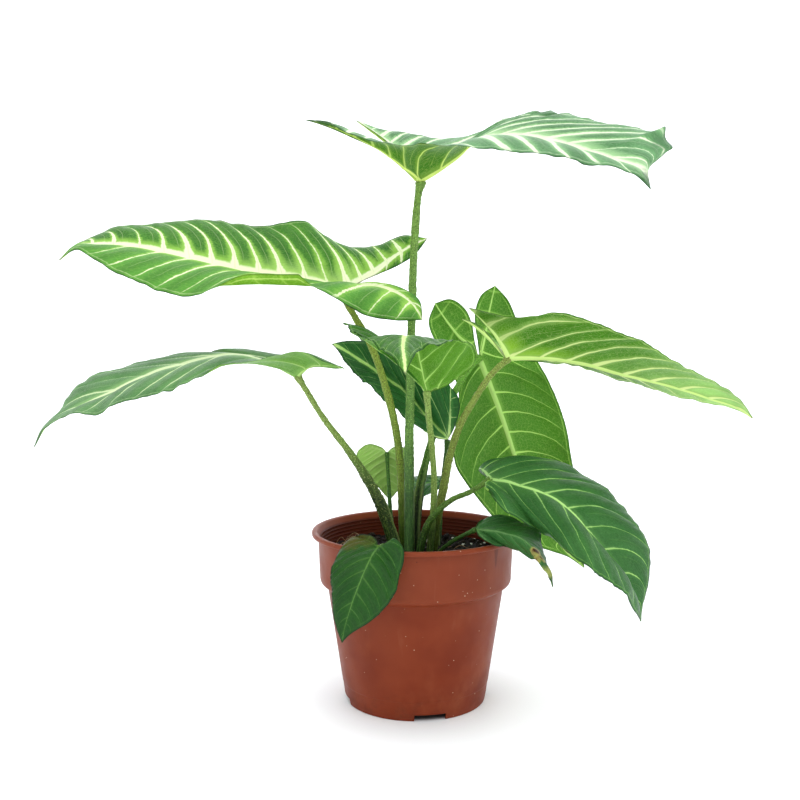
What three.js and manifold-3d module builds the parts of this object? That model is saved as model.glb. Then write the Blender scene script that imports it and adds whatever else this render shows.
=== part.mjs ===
// Potted caladium: a nursery pot with potting soil and a rosette of twelve arrow-shaped leaves,
// each blade on its own petiole that rises from the crown in the middle of the soil.
// Millimetres, +Z up. The coordinates below are measured from the pot's axis at table level;
// the finished group is moved so that the middle of its footprint is the origin.
import * as THREE from 'three';
import * as BufferGeometryUtils from 'three/addons/utils/BufferGeometryUtils.js';
import Module from 'manifold-3d';

// ---- pot ----
const RIM_RADIUS = 70;          // outside of the rolled lip
const LIP_INNER_RADIUS = 66.6;  // crest of the lip, inner side
const POT_HEIGHT = 115.8;
const LIP_HEIGHT = 3.4;
const BAND_TOP_RADIUS = 65.8;   // collar under the lip
const BAND_BOTTOM_RADIUS = 64.6;
const BAND_BOTTOM_Z = 82;
const BODY_TOP_RADIUS = 59.6;
const BODY_TOP_Z = 78.6;
const BASE_RADIUS = 47.4;
const WALL = 1.4;
const FLOOR_UNDERSIDE_Z = 3.4;
const FLOOR_TOP_Z = 5.4;
const FOOT_RING_INNER_RADIUS = 44.6;
const POT_SEGMENTS = 72;
const NOTCH_WIDTH = 21;         // drainage notches in the foot ring
const NOTCH_HEIGHT = 4.4;
const NOTCH_AZIMUTHS = [-79, 11, 101, 191];
const DRAIN_HOLE_RADIUS = 4.5;
const DRAIN_HOLE_RING = 35;
// ---- soil ----
const SOIL_Z = 100;             // surface, about 16 mm below the crest of the lip
const GAP = 0.35;               // clearance between neighbouring solids
// ---- plant ----
const BLADE_THICKNESS = 0.9;
const STEPS_ACROSS = 3;         // between a midrib and its margin
const PETIOLE_SIDES = 8;
const PETIOLE_STEPS = 11;
const JUNCTION_GAP = 1.6;       // petiole end to the blade's underside

const DEG = Math.PI / 180;
const v3 = (p) => new THREE.Vector3(p[0], p[1], p[2]);

// Blades. midrib runs from the tip to the junction with the petiole; the two halves A and B each
// have a lobe rib (junction to lobe tip), an outer margin (tip to lobe tip) and an inner margin
// along the sinus (junction to lobe tip). upper gives the side that is the upper face.
const BLADES = {
  leaf_top: { upper: -1, camberA: 2.5, camberB: 5,
    midrib: [[147.1,-32,338.9],[143.1,-25.6,350.8],[132.1,-17.7,355.5],[119.9,-11.6,360.3],[107.1,-7.1,365],[93.8,-3.8,369.6],[80.4,-0.4,373.5],[66.5,2.4,376],[52.2,4.4,375.7],[38.1,6,373.4],[27.2,7,364.1],[15.3,7,355.9],[3.1,6,348.3]],
    ribA: [[3.1,6,348.3],[-3.5,15.9,357.9],[-10.8,24.8,367.7],[-19.4,32.8,377.3],[-29.7,39.5,386.2],[-41.1,44,395.1]],
    ribB: [[3.1,6,348.3],[-7.7,-7.1,355.7],[-21,-16.6,364.5],[-36,-25.1,371.3],[-52.1,-32.2,377.3],[-69.3,-38,380.9]],
    outerA: [[147.1,-32,338.9],[149,-17.6,353.2],[161.3,-5.1,364.3],[164.2,4.5,376.3],[153.5,11.8,383.7],[140.8,17,387],[127.6,21.9,389.4],[114.2,25.4,392.7],[100.7,27.7,397.2],[86.7,28.9,398.8],[72.7,29,396.6],[59.1,27.6,391.5],[45.9,24.7,384.8],[29.3,32.2,381.6],[11.6,38.3,383],[-6.2,42.9,386.1],[-24,45.6,389.3],[-41.1,44,395.1]],
    outerB: [[147.1,-32,338.9],[136.3,-37.6,346.2],[125.3,-36.4,351.3],[113.5,-35.5,354.3],[101.4,-35,356.4],[89.2,-34.7,358.1],[77.2,-33.4,359.9],[65.1,-31.8,362.2],[53,-30.1,363.8],[40.8,-27.9,364.7],[28.5,-25.7,365.8],[16.2,-23.6,367.6],[3.8,-21.8,369.2],[-11.6,-31.3,366.5],[-26.7,-36.6,367.6],[-40.9,-40.1,371.6],[-54.3,-41.2,378.3],[-69.3,-38,380.9]],
    innerA: [[3.1,6,348.3],[-3.5,15.9,359.4],[-11,24.8,370.1],[-20.2,32.8,379.5],[-30.4,39.5,387.7],[-41.1,44,395.1]],
    innerB: [[3.1,6,348.3],[-10.8,-7.1,357],[-24.6,-16.6,365.5],[-39.5,-25.1,371.2],[-54.3,-32.2,376.6],[-69.3,-38,380.9]], },
  leaf_upper_left: { upper: 1, camberA: 4, camberB: 5,
    midrib: [[-230,-20,295.4],[-217.8,-18.9,303.9],[-202.4,-15.7,305],[-187,-12.5,304.5],[-171.6,-9.8,302.1],[-156.3,-7.3,299],[-141.1,-5.2,295.5],[-125.8,-3.6,291.8],[-110.5,-2.4,288.1],[-94.9,-1.2,285.7],[-79.3,-1,283.5],[-63.9,-1.1,280.2],[-48.9,-2,275.2]],
    ribA: [[-48.9,-2,275.2],[-38,5.5,282.2],[-26.9,12.4,289.6],[-16,18,298.2],[-4.4,22.8,306.2],[8.6,27,312.4]],
    ribB: [[-48.9,-2,275.2],[-37.7,-9.2,277.7],[-25.8,-15.5,278.2],[-13.8,-20.6,274.7],[-3.2,-25.2,267.7],[4,-29,257]],
    outerA: [[-230,-20,295.4],[-223.2,-9.8,304],[-213.2,-1.5,311.4],[-202.2,5.6,318.2],[-189.5,11.5,320.8],[-176.1,16.3,321.7],[-162.3,19.9,323.3],[-148.2,22.4,324.4],[-133.8,23.9,324.4],[-119.4,24.6,322.1],[-104.6,23.8,320.9],[-89.8,22.1,322.2],[-75.6,19.1,323.6],[-61.1,24,313.7],[-44.3,27.6,307.2],[-26.3,29.4,307.9],[-9.2,29.6,314.4],[8.6,27,312.4]],
    outerB: [[-230,-20,295.4],[-214.3,-32.9,301],[-201.7,-37.7,294.8],[-189.7,-40.6,287.7],[-177.5,-42.5,281.7],[-165.1,-43.6,276.8],[-152.4,-44,273.1],[-139.6,-43.7,272.3],[-126.6,-42.9,274.4],[-113.7,-41.1,275.6],[-100.7,-39.3,276.3],[-87.7,-37,276.3],[-74.6,-34.6,276.3],[-58.2,-37.6,273.7],[-43.7,-39,265.9],[-28.8,-38.2,259.5],[-12.5,-35.7,256.7],[4,-29,257]],
    innerA: [[-48.9,-2,275.2],[-37.1,5.5,281.8],[-24.6,12.4,287.5],[-11.9,18,293.3],[-0,22.8,301.3],[8.6,27,312.4]],
    innerB: [[-48.9,-2,275.2],[-35.9,-9.2,281.2],[-22.2,-15.5,281.1],[-8.9,-20.6,277.4],[2,-25.2,269.6],[4,-29,257]], },
  leaf_lower_left: { upper: 1, camberA: 1.5, camberB: 2.5,
    midrib: [[-242.7,-40,176.9],[-235.5,-36.1,190],[-222.7,-32.4,198],[-208.7,-29.1,204.1],[-194.8,-26.4,210.6],[-181,-23.9,217.5],[-166.9,-21.5,223.7],[-152.1,-19,228],[-137.1,-17.2,231.8],[-121.8,-15.2,234.5],[-106.3,-14,233.1],[-91.9,-13,227.5],[-77.9,-12,220.6]],
    ribA: [[-77.9,-12,220.6],[-75.3,-4.7,224],[-71.5,2.4,226.4],[-66.4,9.1,227],[-60.1,14.7,226.9],[-53.1,19,225]],
    ribB: [[-77.9,-12,220.6],[-73.4,-18.3,224.6],[-67.1,-23.2,227.8],[-60.2,-28.4,228.3],[-52.9,-33.1,228.1],[-45.3,-37,226.6]],
    outerA: [[-242.7,-40,176.9],[-242.6,-24.9,185.8],[-237.9,-14.9,194.4],[-232.6,-6.8,203.7],[-226.2,-0.3,212.9],[-216.6,5,219],[-205.7,9.3,223.2],[-194.2,12.9,226.5],[-182,15,229.2],[-169.5,16.6,231.4],[-156.6,16.5,233.1],[-143.4,15.6,233.9],[-130.7,13.9,237.6],[-115.6,17.9,236.7],[-100.5,21.1,232.6],[-84.7,23.1,231],[-68.8,23.1,229.2],[-53.1,19,225]],
    outerB: [[-242.7,-40,176.9],[-233.2,-50.3,188.6],[-222,-54.6,195.8],[-209.6,-57.5,199],[-197.4,-59.6,199.2],[-187,-60.7,205.2],[-175.9,-60.7,208.6],[-164.6,-59.7,209.8],[-154.4,-58.2,213.1],[-144.4,-55.6,218],[-134.2,-52.8,222.5],[-124.5,-49.3,228],[-113.7,-45,229.7],[-99.3,-47,232.7],[-85.7,-46.9,236.1],[-71.4,-46.2,237.4],[-58.6,-43.8,231.7],[-45.3,-37,226.6]],
    innerA: [[-77.9,-12,220.6],[-74.5,-4.7,224.3],[-69.7,2.4,225.6],[-64.3,9.1,225.5],[-58.7,14.7,224.6],[-53.1,19,225]],
    innerB: [[-77.9,-12,220.6],[-72,-18.3,224.9],[-65.3,-23.2,226.5],[-58.4,-28.4,226.5],[-51.8,-33.1,226],[-45.3,-37,226.6]], },
  leaf_center_front: { upper: 1, camberA: 2, camberB: 2,
    midrib: [[-7.5,-148,229.5],[-8.4,-139.3,236.7],[-8.9,-128.7,240.8],[-9.1,-117.7,243.6],[-8.7,-106.7,246.4],[-7.9,-95.5,248.3],[-6.4,-84.2,248.1],[-4,-73.2,246.6],[-1.7,-62.5,243.8],[0.5,-52.6,238.6],[2.3,-44.6,230.8],[4.3,-38.5,221.5],[6.7,-34,211.3]],
    ribA: [[6.7,-34,211.3],[-0.4,-37,223.6],[-9.4,-39.5,234.7],[-20.4,-41.7,243.9],[-33,-43.8,250.8],[-46.5,-46,255.6]],
    ribB: [[6.7,-34,211.3],[11.3,-33.3,213.9],[16,-32.7,216],[20.9,-32.1,218],[25.7,-31.5,220.1],[30.4,-31,222.3]],
    outerA: [[-7.5,-148,229.5],[-11,-144.6,233.4],[-13.8,-140.2,237.1],[-16.8,-135.2,239.5],[-19.7,-129.9,241.4],[-22.4,-124.4,243.1],[-25,-118.9,244.9],[-27.6,-113.3,246.3],[-30,-107.5,246.7],[-32.3,-101.6,247],[-34.4,-95.7,247.8],[-36.3,-89.7,248.8],[-37.9,-83.7,249.8],[-39.5,-76.2,251],[-41,-68.6,252.2],[-42.8,-61,253.4],[-44.6,-53.5,254.5],[-46.5,-46,255.6]],
    outerB: [[-7.5,-148,229.5],[-5.3,-142.5,234.4],[-3.3,-135.9,237.8],[-1.5,-128.9,240.4],[1.1,-122,241.9],[4.9,-115.4,243],[8.7,-108.7,243.7],[12.3,-102,244.2],[16,-95.3,244.7],[19.6,-88.5,245.1],[23.2,-81.8,245.4],[26.6,-75,245.6],[29.8,-68.1,244.8],[33.3,-59.6,242.3],[36.2,-51.3,238.9],[37.5,-43.2,234.1],[35.7,-35.9,228.2],[30.4,-31,222.3]],
    innerA: [[6.7,-34,211.3],[-2.5,-37,222.7],[-11.5,-39.5,234.1],[-20.9,-41.7,244.8],[-32.7,-43.8,252.5],[-46.5,-46,255.6]],
    innerB: [[6.7,-34,211.3],[12,-33.3,212.3],[17,-32.7,213.9],[21.7,-32.1,216.4],[25.7,-31.5,219.8],[30.4,-31,222.3]], },
  leaf_center_back: { upper: 1, camberA: 3, camberB: 3,
    midrib: [[-59.3,50,239.1],[-51.3,48,234.9],[-43.7,45.6,230.3],[-36.2,43.2,225.5],[-28.7,40.9,220.7],[-21.4,38.2,215.8],[-14.2,35.2,210.8],[-7,32.3,205.9],[-0.8,29.2,199.8],[4.8,26,193.3],[10.6,22.9,186.8],[16.5,19.9,180.4],[22.6,17,174.1]],
    ribA: [[22.6,17,174.1],[23.1,17.3,181.4],[23.6,17.8,188.8],[23.9,18.7,196.1],[24,19.9,203.3],[24.4,21,210.6]],
    ribB: [[22.6,17,174.1],[19.1,15.1,175.1],[15.6,13.3,176.4],[12.2,11.5,177.9],[8.9,9.7,179.6],[5.8,8,181.7]],
    outerA: [[-59.3,50,239.1],[-54.2,50.8,240.5],[-49,50,241.2],[-43.7,48.7,241.5],[-38.3,47.4,241.6],[-33,45.4,241.6],[-27.8,42.9,240.9],[-22.6,40.2,239.8],[-17.6,37.2,238.5],[-12.7,33.9,236.8],[-7.9,30.5,235.1],[-3.2,27,233.2],[1.4,23.4,231.2],[7,22.9,228.3],[12.4,22.5,225],[17,22.1,220.9],[21,21.9,216.1],[24.4,21,210.6]],
    outerB: [[-59.3,50,239.1],[-55.7,46.3,235.5],[-52.6,42.9,231.6],[-49.9,39.7,227.5],[-46.9,36.9,223.7],[-43.6,33.7,220.1],[-39.7,30.5,217.1],[-35.9,27.4,214.1],[-32.1,24.2,211.2],[-28.4,21.1,208.2],[-24.9,18.2,205.1],[-21.5,15.5,201.8],[-18,13,198.7],[-13.5,11.6,195],[-8.8,10.4,191.5],[-3.9,9.3,188.2],[0.9,8.4,184.9],[5.8,8,181.7]],
    innerA: [[22.6,17,174.1],[26.4,17.3,181.2],[29,17.8,188.7],[30.8,18.7,196.5],[29.3,19.9,204.3],[24.4,21,210.6]],
    innerB: [[22.6,17,174.1],[18.8,15.1,174.5],[15.2,13.3,175.4],[11.7,11.5,177],[8.6,9.7,179.1],[5.8,8,181.7]], },
  leaf_right_long: { upper: -1, camberA: 3, camberB: 2,
    midrib: [[216.2,-30,194.3],[204.8,-28.4,201.3],[192,-26.1,205.3],[179.3,-24.2,209.6],[166.4,-22.3,213.5],[153.4,-20.4,216.9],[140.3,-18.5,219.9],[127.2,-16.6,223.1],[114.3,-14.7,227],[101.1,-12.9,229.5],[87.8,-10.9,231.3],[74.4,-9.2,231.7],[60.8,-8,231.8]],
    ribA: [[60.8,-8,231.8],[56.3,-0.6,236.6],[51.3,5.9,242.1],[45.6,11.8,247.8],[39.4,17.4,253],[32.4,23,257.3]],
    ribB: [[60.8,-8,231.8],[56.7,-13.7,239.1],[51.9,-19.3,246.1],[46.3,-24.6,252.7],[40,-29.5,258.9],[33.1,-34,264.8]],
    outerA: [[216.2,-30,194.3],[211,-15.2,197.7],[202.9,-5.5,199.3],[193.8,2.1,201],[184.3,8.4,203.3],[174.3,13.7,205.8],[163.9,17.8,208.5],[153.2,21,211.5],[142.2,23.2,214.5],[131.3,24.6,218.6],[120.1,25.1,222.4],[108.2,24.4,224.7],[96.1,22.6,226.1],[81.9,26.1,227.6],[67.9,27.9,230.7],[56.1,28.2,239.8],[45.4,27.3,250.1],[32.4,23,257.3]],
    outerB: [[216.2,-30,194.3],[205.8,-42.2,204.9],[195.9,-47.8,212.9],[185.6,-51.9,219.2],[174.5,-54.7,223.3],[164.6,-56.3,228.7],[155.1,-56.8,234.1],[146.3,-56.3,240.3],[137,-54.7,245],[127.3,-52.2,248.4],[118.2,-48.7,253],[108.8,-44.7,256.8],[99,-40.2,259.7],[85.4,-41.8,261.5],[72,-42.4,259.6],[58.8,-42,258.9],[45.9,-39.9,261.9],[33.1,-34,264.8]],
    innerA: [[60.8,-8,231.8],[56.3,-0.6,237.8],[51.5,5.9,243.9],[46.5,11.8,250.1],[40.1,17.4,254.9],[32.4,23,257.3]],
    innerB: [[60.8,-8,231.8],[56.3,-13.7,239.4],[50.9,-19.3,246.4],[45,-24.6,252.8],[38.9,-29.5,258.8],[33.1,-34,264.8]], },
  leaf_right_hanging: { upper: 1, camberA: 5, camberB: 5,
    midrib: [[127.5,70,71],[115.9,69.8,81],[106.8,67.9,93.2],[98.9,65.7,106.2],[91.6,63.3,119.4],[84.7,60.9,132.9],[78,58.3,146.5],[72,55.4,160.3],[67.1,52.3,174.5],[62,49,188.6],[56.6,45.2,202.4],[51,41.2,216.1],[45.1,37,229.7]],
    ribA: [[45.1,37,229.7],[47.8,40.7,239.8],[50.3,44.5,249.9],[52.4,48.3,260.2],[54.9,51.8,270.5],[57.6,55,280.8]],
    ribB: [[45.1,37,229.7],[40,39,238.2],[32,41.4,244.1],[25.6,43.8,251.8],[19.7,46.4,259.9],[14.4,49,268.2]],
    outerA: [[127.5,70,71],[125.4,67,84.3],[124.1,63.6,97.6],[122.6,60.1,110.8],[120.8,56.9,123.7],[118.1,53.7,136.4],[115,50.6,148.9],[112.2,47.5,161.2],[109.7,44.3,173.5],[106.2,41.1,185.5],[101.8,37.6,197.1],[96.7,34.1,208.3],[90.8,30.6,219],[84.3,35.1,231.3],[78.1,39.8,244],[72.1,44.8,257],[66.5,49.7,270.2],[57.6,55,280.8]],
    outerB: [[127.5,70,71],[115.5,68.7,79.4],[101.9,66.3,84.7],[88.2,63.6,89.7],[75.4,60.9,96.7],[63.9,58.2,105.7],[54.1,55.4,116.4],[45.2,52.4,127.8],[36.7,49.3,139.4],[29.4,46,151.8],[27.3,42.4,165.7],[28.6,38.6,179.6],[30.3,34.6,193.2],[30.2,36.9,209.4],[23.1,39.7,224.3],[15.5,42.5,238.7],[9.8,45.6,254.3],[14.4,49,268.2]],
    innerA: [[45.1,37,229.7],[44.3,40.7,240.9],[42.7,44.5,252.2],[43.1,48.3,263.6],[47.9,51.8,274.5],[57.6,55,280.8]],
    innerB: [[45.1,37,229.7],[42.2,39,241.3],[40.4,41.4,253.2],[35.5,43.8,264.2],[25.6,46.4,271],[14.4,49,268.2]], },
  leaf_right_front: { upper: -1, camberA: 4, camberB: 4,
    midrib: [[131,-98,81.2],[128.2,-93.2,91.6],[123.6,-89,101.6],[118,-84.4,111],[111.9,-78.6,119.3],[105.5,-72.4,127.1],[98.9,-66.3,134.8],[92.1,-59.1,141.3],[84.6,-51.4,146.1],[75.7,-44.1,149.2],[66.6,-36.8,150.9],[57.7,-29.2,152.8],[48.3,-22,153]],
    ribA: [[48.3,-22,153],[47.2,-16.4,154.5],[46.1,-10.8,155.9],[44.8,-5.2,156.7],[43.3,0.5,156.8],[42.6,6,154.9]],
    ribB: [[48.3,-22,153],[46.6,-26.6,153.1],[44.9,-31.3,153.1],[44,-36.1,152.7],[43.9,-40.9,151.3],[45.6,-45,149.4]],
    outerA: [[131,-98,81.2],[134,-88.9,88.2],[137.8,-82.2,95.7],[141.3,-75.8,103.7],[143.1,-68.5,111.9],[142.7,-61.2,119.8],[139.2,-54.3,127.3],[135.2,-46.7,134.3],[130,-38.9,140.5],[124.7,-31.8,147],[117.1,-24.9,151.5],[109.5,-18.1,156.1],[101.8,-11.9,161.2],[89.8,-7.6,164.4],[77.3,-3.6,166.3],[64.7,0.3,164.1],[51.7,3.8,162.1],[42.6,6,154.9]],
    outerB: [[131,-98,81.2],[124.2,-112.6,91.3],[119.4,-119.3,98.9],[114.6,-123.2,105.1],[109.6,-123.9,109.5],[104.6,-122.6,112.8],[100.1,-119.9,116],[95.9,-114.6,118.5],[91.5,-107.4,120.1],[87.7,-99.3,122.1],[84.4,-89.8,124.6],[81.1,-78.9,126.7],[76.5,-67.1,127],[69,-66,130.7],[61.9,-63.7,134.6],[54.9,-60.4,138.7],[49.5,-55.4,144.1],[45.6,-45,149.4]],
    innerA: [[48.3,-22,153],[47.1,-16.4,153.2],[45.9,-10.8,153.5],[44.7,-5.2,153.8],[43.6,0.5,154.3],[42.6,6,154.9]],
    innerB: [[48.3,-22,153],[46.8,-26.6,152.4],[45.7,-31.3,151.7],[44.9,-36.1,150.9],[44.9,-40.9,150.2],[45.6,-45,149.4]], },
  leaf_rim_right: { upper: -1, camberA: 2, camberB: 2,
    midrib: [[78.8,-100,102.4],[77,-97,108.1],[74.7,-93.3,113.3],[72,-89,117.7],[69.1,-84,121.2],[65.9,-78.7,123.9],[62.4,-73.2,125.6],[58.7,-67.6,126],[54.8,-62,125.8],[51,-56.4,125.7],[46.8,-51.2,125.4],[42.3,-46.2,124.6],[38,-41,124.2]],
    ribA: [[38,-41,124.2],[39,-38.6,125.3],[40.3,-36.3,126.2],[41.7,-34,127],[43.3,-31.9,127.9],[45.2,-30,128.8]],
    ribB: [[38,-41,124.2],[39.1,-43.8,123],[40.4,-46.5,121.8],[41.8,-49.1,120.8],[43.5,-51.6,119.6],[45.2,-54,118.4]],
    outerA: [[78.8,-100,102.4],[79,-97,105.4],[79,-93.3,108.1],[78.3,-89,110.6],[77.4,-84,112.9],[76.8,-78.7,115.3],[76.4,-73.2,117.7],[76.4,-67.6,120.3],[76.9,-62,123.2],[76.9,-56.4,125.4],[74.3,-51.2,127],[71.4,-46.2,128.1],[68.4,-41,128.8],[64,-38.6,130.3],[59.5,-36.3,131.3],[54.7,-34,131.5],[49.9,-31.9,130.7],[45.2,-30,128.8]],
    outerB: [[78.8,-100,102.4],[77.6,-101.9,105.4],[76.7,-101,107.7],[75.8,-98.8,109.6],[75,-95.5,111.3],[74.2,-91.4,112.5],[72.9,-86.8,113.3],[71.4,-81.7,113.8],[69.8,-76.2,114],[68.1,-70.4,114.1],[66.3,-64.7,114.2],[64.5,-58.9,114.1],[62.5,-52.5,113.5],[58.9,-53.8,114.6],[55.3,-54.7,115.4],[51.7,-55.3,116.2],[48.3,-55.3,117.2],[45.2,-54,118.4]],
    innerA: [[38,-41,124.2],[38.5,-38.6,125.8],[39.5,-36.3,127.2],[41,-34,128.2],[42.9,-31.9,128.7],[45.2,-30,128.8]],
    innerB: [[38,-41,124.2],[38.3,-43.8,122.2],[39.4,-46.5,120.7],[41.2,-49.1,119.6],[43,-51.6,118.8],[45.2,-54,118.4]], },
  leaf_rim_front_left: { upper: 1, camberA: 3, camberB: 3,
    midrib: [[-45.1,-90,65.6],[-44.2,-90,71.3],[-43,-90,76.8],[-41.4,-90,82.3],[-39.7,-90,87.7],[-37.9,-89.9,93.1],[-35.9,-89.2,98.4],[-33.8,-87.9,103.5],[-31.7,-85.7,108.3],[-29.5,-82.4,112.4],[-27.5,-78.3,115.7],[-25.5,-73.4,117.8],[-24,-68,118.7]],
    ribA: [[-24,-68,118.7],[-26.6,-65.5,120.2],[-29.4,-63.1,121.3],[-32.4,-60.7,122.1],[-35.6,-58.7,122.4],[-39.1,-57,122.5]],
    ribB: [[-24,-68,118.7],[-22,-68,119.7],[-20,-68,120.7],[-18.1,-67.7,121.8],[-16.3,-67.1,123],[-14.8,-66,124.1]],
    outerA: [[-45.1,-90,65.6],[-46.7,-89.4,69.3],[-48.1,-88.7,73.1],[-49.2,-88.2,76.9],[-50.1,-87.5,80.8],[-50.9,-86.7,84.8],[-51.2,-85.7,88.6],[-51.2,-84.3,92.5],[-51.4,-82.6,96.1],[-52.3,-80.4,99.4],[-52.8,-78.2,102.8],[-52.6,-75.8,106],[-51,-73.3,108.9],[-49.6,-69.9,112.4],[-48.2,-66.4,115.6],[-45.8,-63.2,118.7],[-42.9,-60.1,121.2],[-39.1,-57,122.5]],
    outerB: [[-45.1,-90,65.6],[-42.1,-90,69.1],[-38.6,-90,72],[-34.7,-90,74.4],[-30.8,-90,76.9],[-27,-89.3,79.4],[-23.4,-88.3,82.1],[-20.2,-87.4,85.2],[-17.3,-86.5,88.7],[-14.8,-85.6,92.4],[-12.5,-84.5,96.3],[-11.4,-83.1,100.4],[-10.7,-81.4,104.6],[-8.8,-79.3,109.6],[-7.9,-76.8,114.5],[-8.3,-73.6,119.2],[-11,-70,122.5],[-14.8,-66,124.1]],
    innerA: [[-24,-68,118.7],[-24.8,-65.5,122.3],[-27.4,-63.1,124.4],[-31.3,-60.7,124.9],[-35.3,-58.7,124.4],[-39.1,-57,122.5]],
    innerB: [[-24,-68,118.7],[-22.1,-68,119.9],[-20.3,-68,121],[-18.4,-67.7,122.1],[-16.6,-67.1,123.2],[-14.8,-66,124.1]], },
  leaf_small_back_left: { upper: -1, camberA: 2, camberB: 2,
    midrib: [[-17.9,42,127.7],[-18.2,42,130.6],[-18.4,42,133.6],[-18.5,41.9,136.6],[-18.7,41.5,139.6],[-18.8,41.2,142.6],[-18.9,40.7,145.6],[-19.1,40.2,148.5],[-19.3,39.6,151.4],[-19.4,38.9,154.4],[-19.5,38.1,157.2],[-19.6,37.1,160.1],[-19.7,36,162.9]],
    ribA: [[-19.7,36,162.9],[-23.3,36.7,164.4],[-27.1,37.5,165.4],[-31,38.1,165.7],[-35,38.6,165.7],[-38.9,39,165.2]],
    ribB: [[-19.7,36,162.9],[-17.4,36.8,164.3],[-14.7,37.6,164.8],[-11.9,38.1,165.1],[-9.1,38.6,165.2],[-6.2,39,165.2]],
    outerA: [[-17.9,42,127.7],[-19.6,40.3,129.8],[-21.4,39.3,131.9],[-23,38.4,133.9],[-24.7,37.5,136.1],[-26.3,36.7,138.1],[-28,36,140.1],[-29.8,35.3,142],[-31.6,34.6,143.9],[-33.3,34,145.8],[-35.1,33.4,147.8],[-36.7,32.7,149.8],[-38.2,32,151.9],[-39.9,33.2,154.4],[-40.9,34.6,157.2],[-41.3,35.9,160.1],[-40.8,37.3,163],[-38.9,39,165.2]],
    outerB: [[-17.9,42,127.7],[-16.2,40.3,129.8],[-14.5,39.3,131.8],[-12.9,38.4,133.9],[-11.3,37.5,135.9],[-9.7,36.7,137.9],[-8.1,36,139.9],[-6.5,35.3,141.9],[-4.9,34.6,143.9],[-3.6,34,146],[-2.3,33.4,148.3],[-1.1,32.7,150.6],[-0.6,32,153.1],[-0.7,33.3,155.9],[-0.9,34.7,158.7],[-2,36,161.4],[-3.8,37.3,163.6],[-6.2,39,165.2]],
    innerA: [[-19.7,36,162.9],[-22.7,36.7,166],[-26.7,37.5,167.7],[-31,38.1,168.7],[-35.3,38.6,167.8],[-38.9,39,165.2]],
    innerB: [[-19.7,36,162.9],[-17.6,36.8,165],[-15,37.6,166.6],[-12,38.1,166.9],[-9,38.6,166.7],[-6.2,39,165.2]], },
  leaf_small_back: { upper: 1, camberA: 1.5, camberB: 1.5,
    midrib: [[-14.9,58,139.5],[-12,57.6,139],[-9.1,57,138.6],[-6.2,56.3,138.2],[-3.3,55.5,137.8],[-0.5,54.5,137.8],[2.3,53.4,137.8],[5,52.2,137.9],[7.8,51.1,138.2],[10.5,49.9,138.7],[13.2,48.7,139.3],[15.8,47.4,140],[18.3,46,140.7]],
    ribA: [[18.3,46,140.7],[19,47.5,140.9],[19.6,49.1,141.1],[20.1,50.7,141.3],[20.5,52.3,141.4],[20.8,54,141.6]],
    ribB: [[18.3,46,140.7],[18.4,44.4,140.3],[18.5,42.9,139.7],[18.5,41.5,138.9],[18.3,40.2,138],[18,39,136.9]],
    outerA: [[-14.9,58,139.5],[-12.9,63.5,139.2],[-11,66.4,139.2],[-9,68.3,139.3],[-7,69.5,139.5],[-4.9,70,139.7],[-2.9,69.9,140],[-0.9,69.3,140.4],[1.1,68.3,140.7],[3.1,66.9,141.2],[5.1,65.1,141.7],[7.1,62.7,142.2],[9.1,59.9,142.8],[11.5,59.6,142.9],[14,59.1,143],[16.5,58.2,143],[18.8,56.8,142.7],[20.8,54,141.6]],
    outerB: [[-14.9,58,139.5],[-13.8,54.3,138.1],[-12.6,51.9,136.6],[-11.3,49.7,135.1],[-9.9,47.8,133.8],[-8.2,46,132.6],[-6.4,44.3,131.7],[-4.5,42.8,130.8],[-2.4,41.6,130.2],[-0.3,40.6,130],[1.9,39.7,130],[4.1,39,130],[6.1,38.4,130.4],[8.7,37.8,131.7],[11.1,37.4,132.8],[13.5,37.4,134.1],[15.8,37.7,135.5],[18,39,136.9]],
    innerA: [[18.3,46,140.7],[19.1,47.5,140.6],[19.8,49.1,140.6],[20.2,50.7,140.7],[20.6,52.3,141.1],[20.8,54,141.6]],
    innerB: [[18.3,46,140.7],[18.9,44.4,140],[19.2,42.9,139.2],[19.1,41.5,138.5],[18.8,40.2,137.7],[18,39,136.9]], },
};

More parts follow.
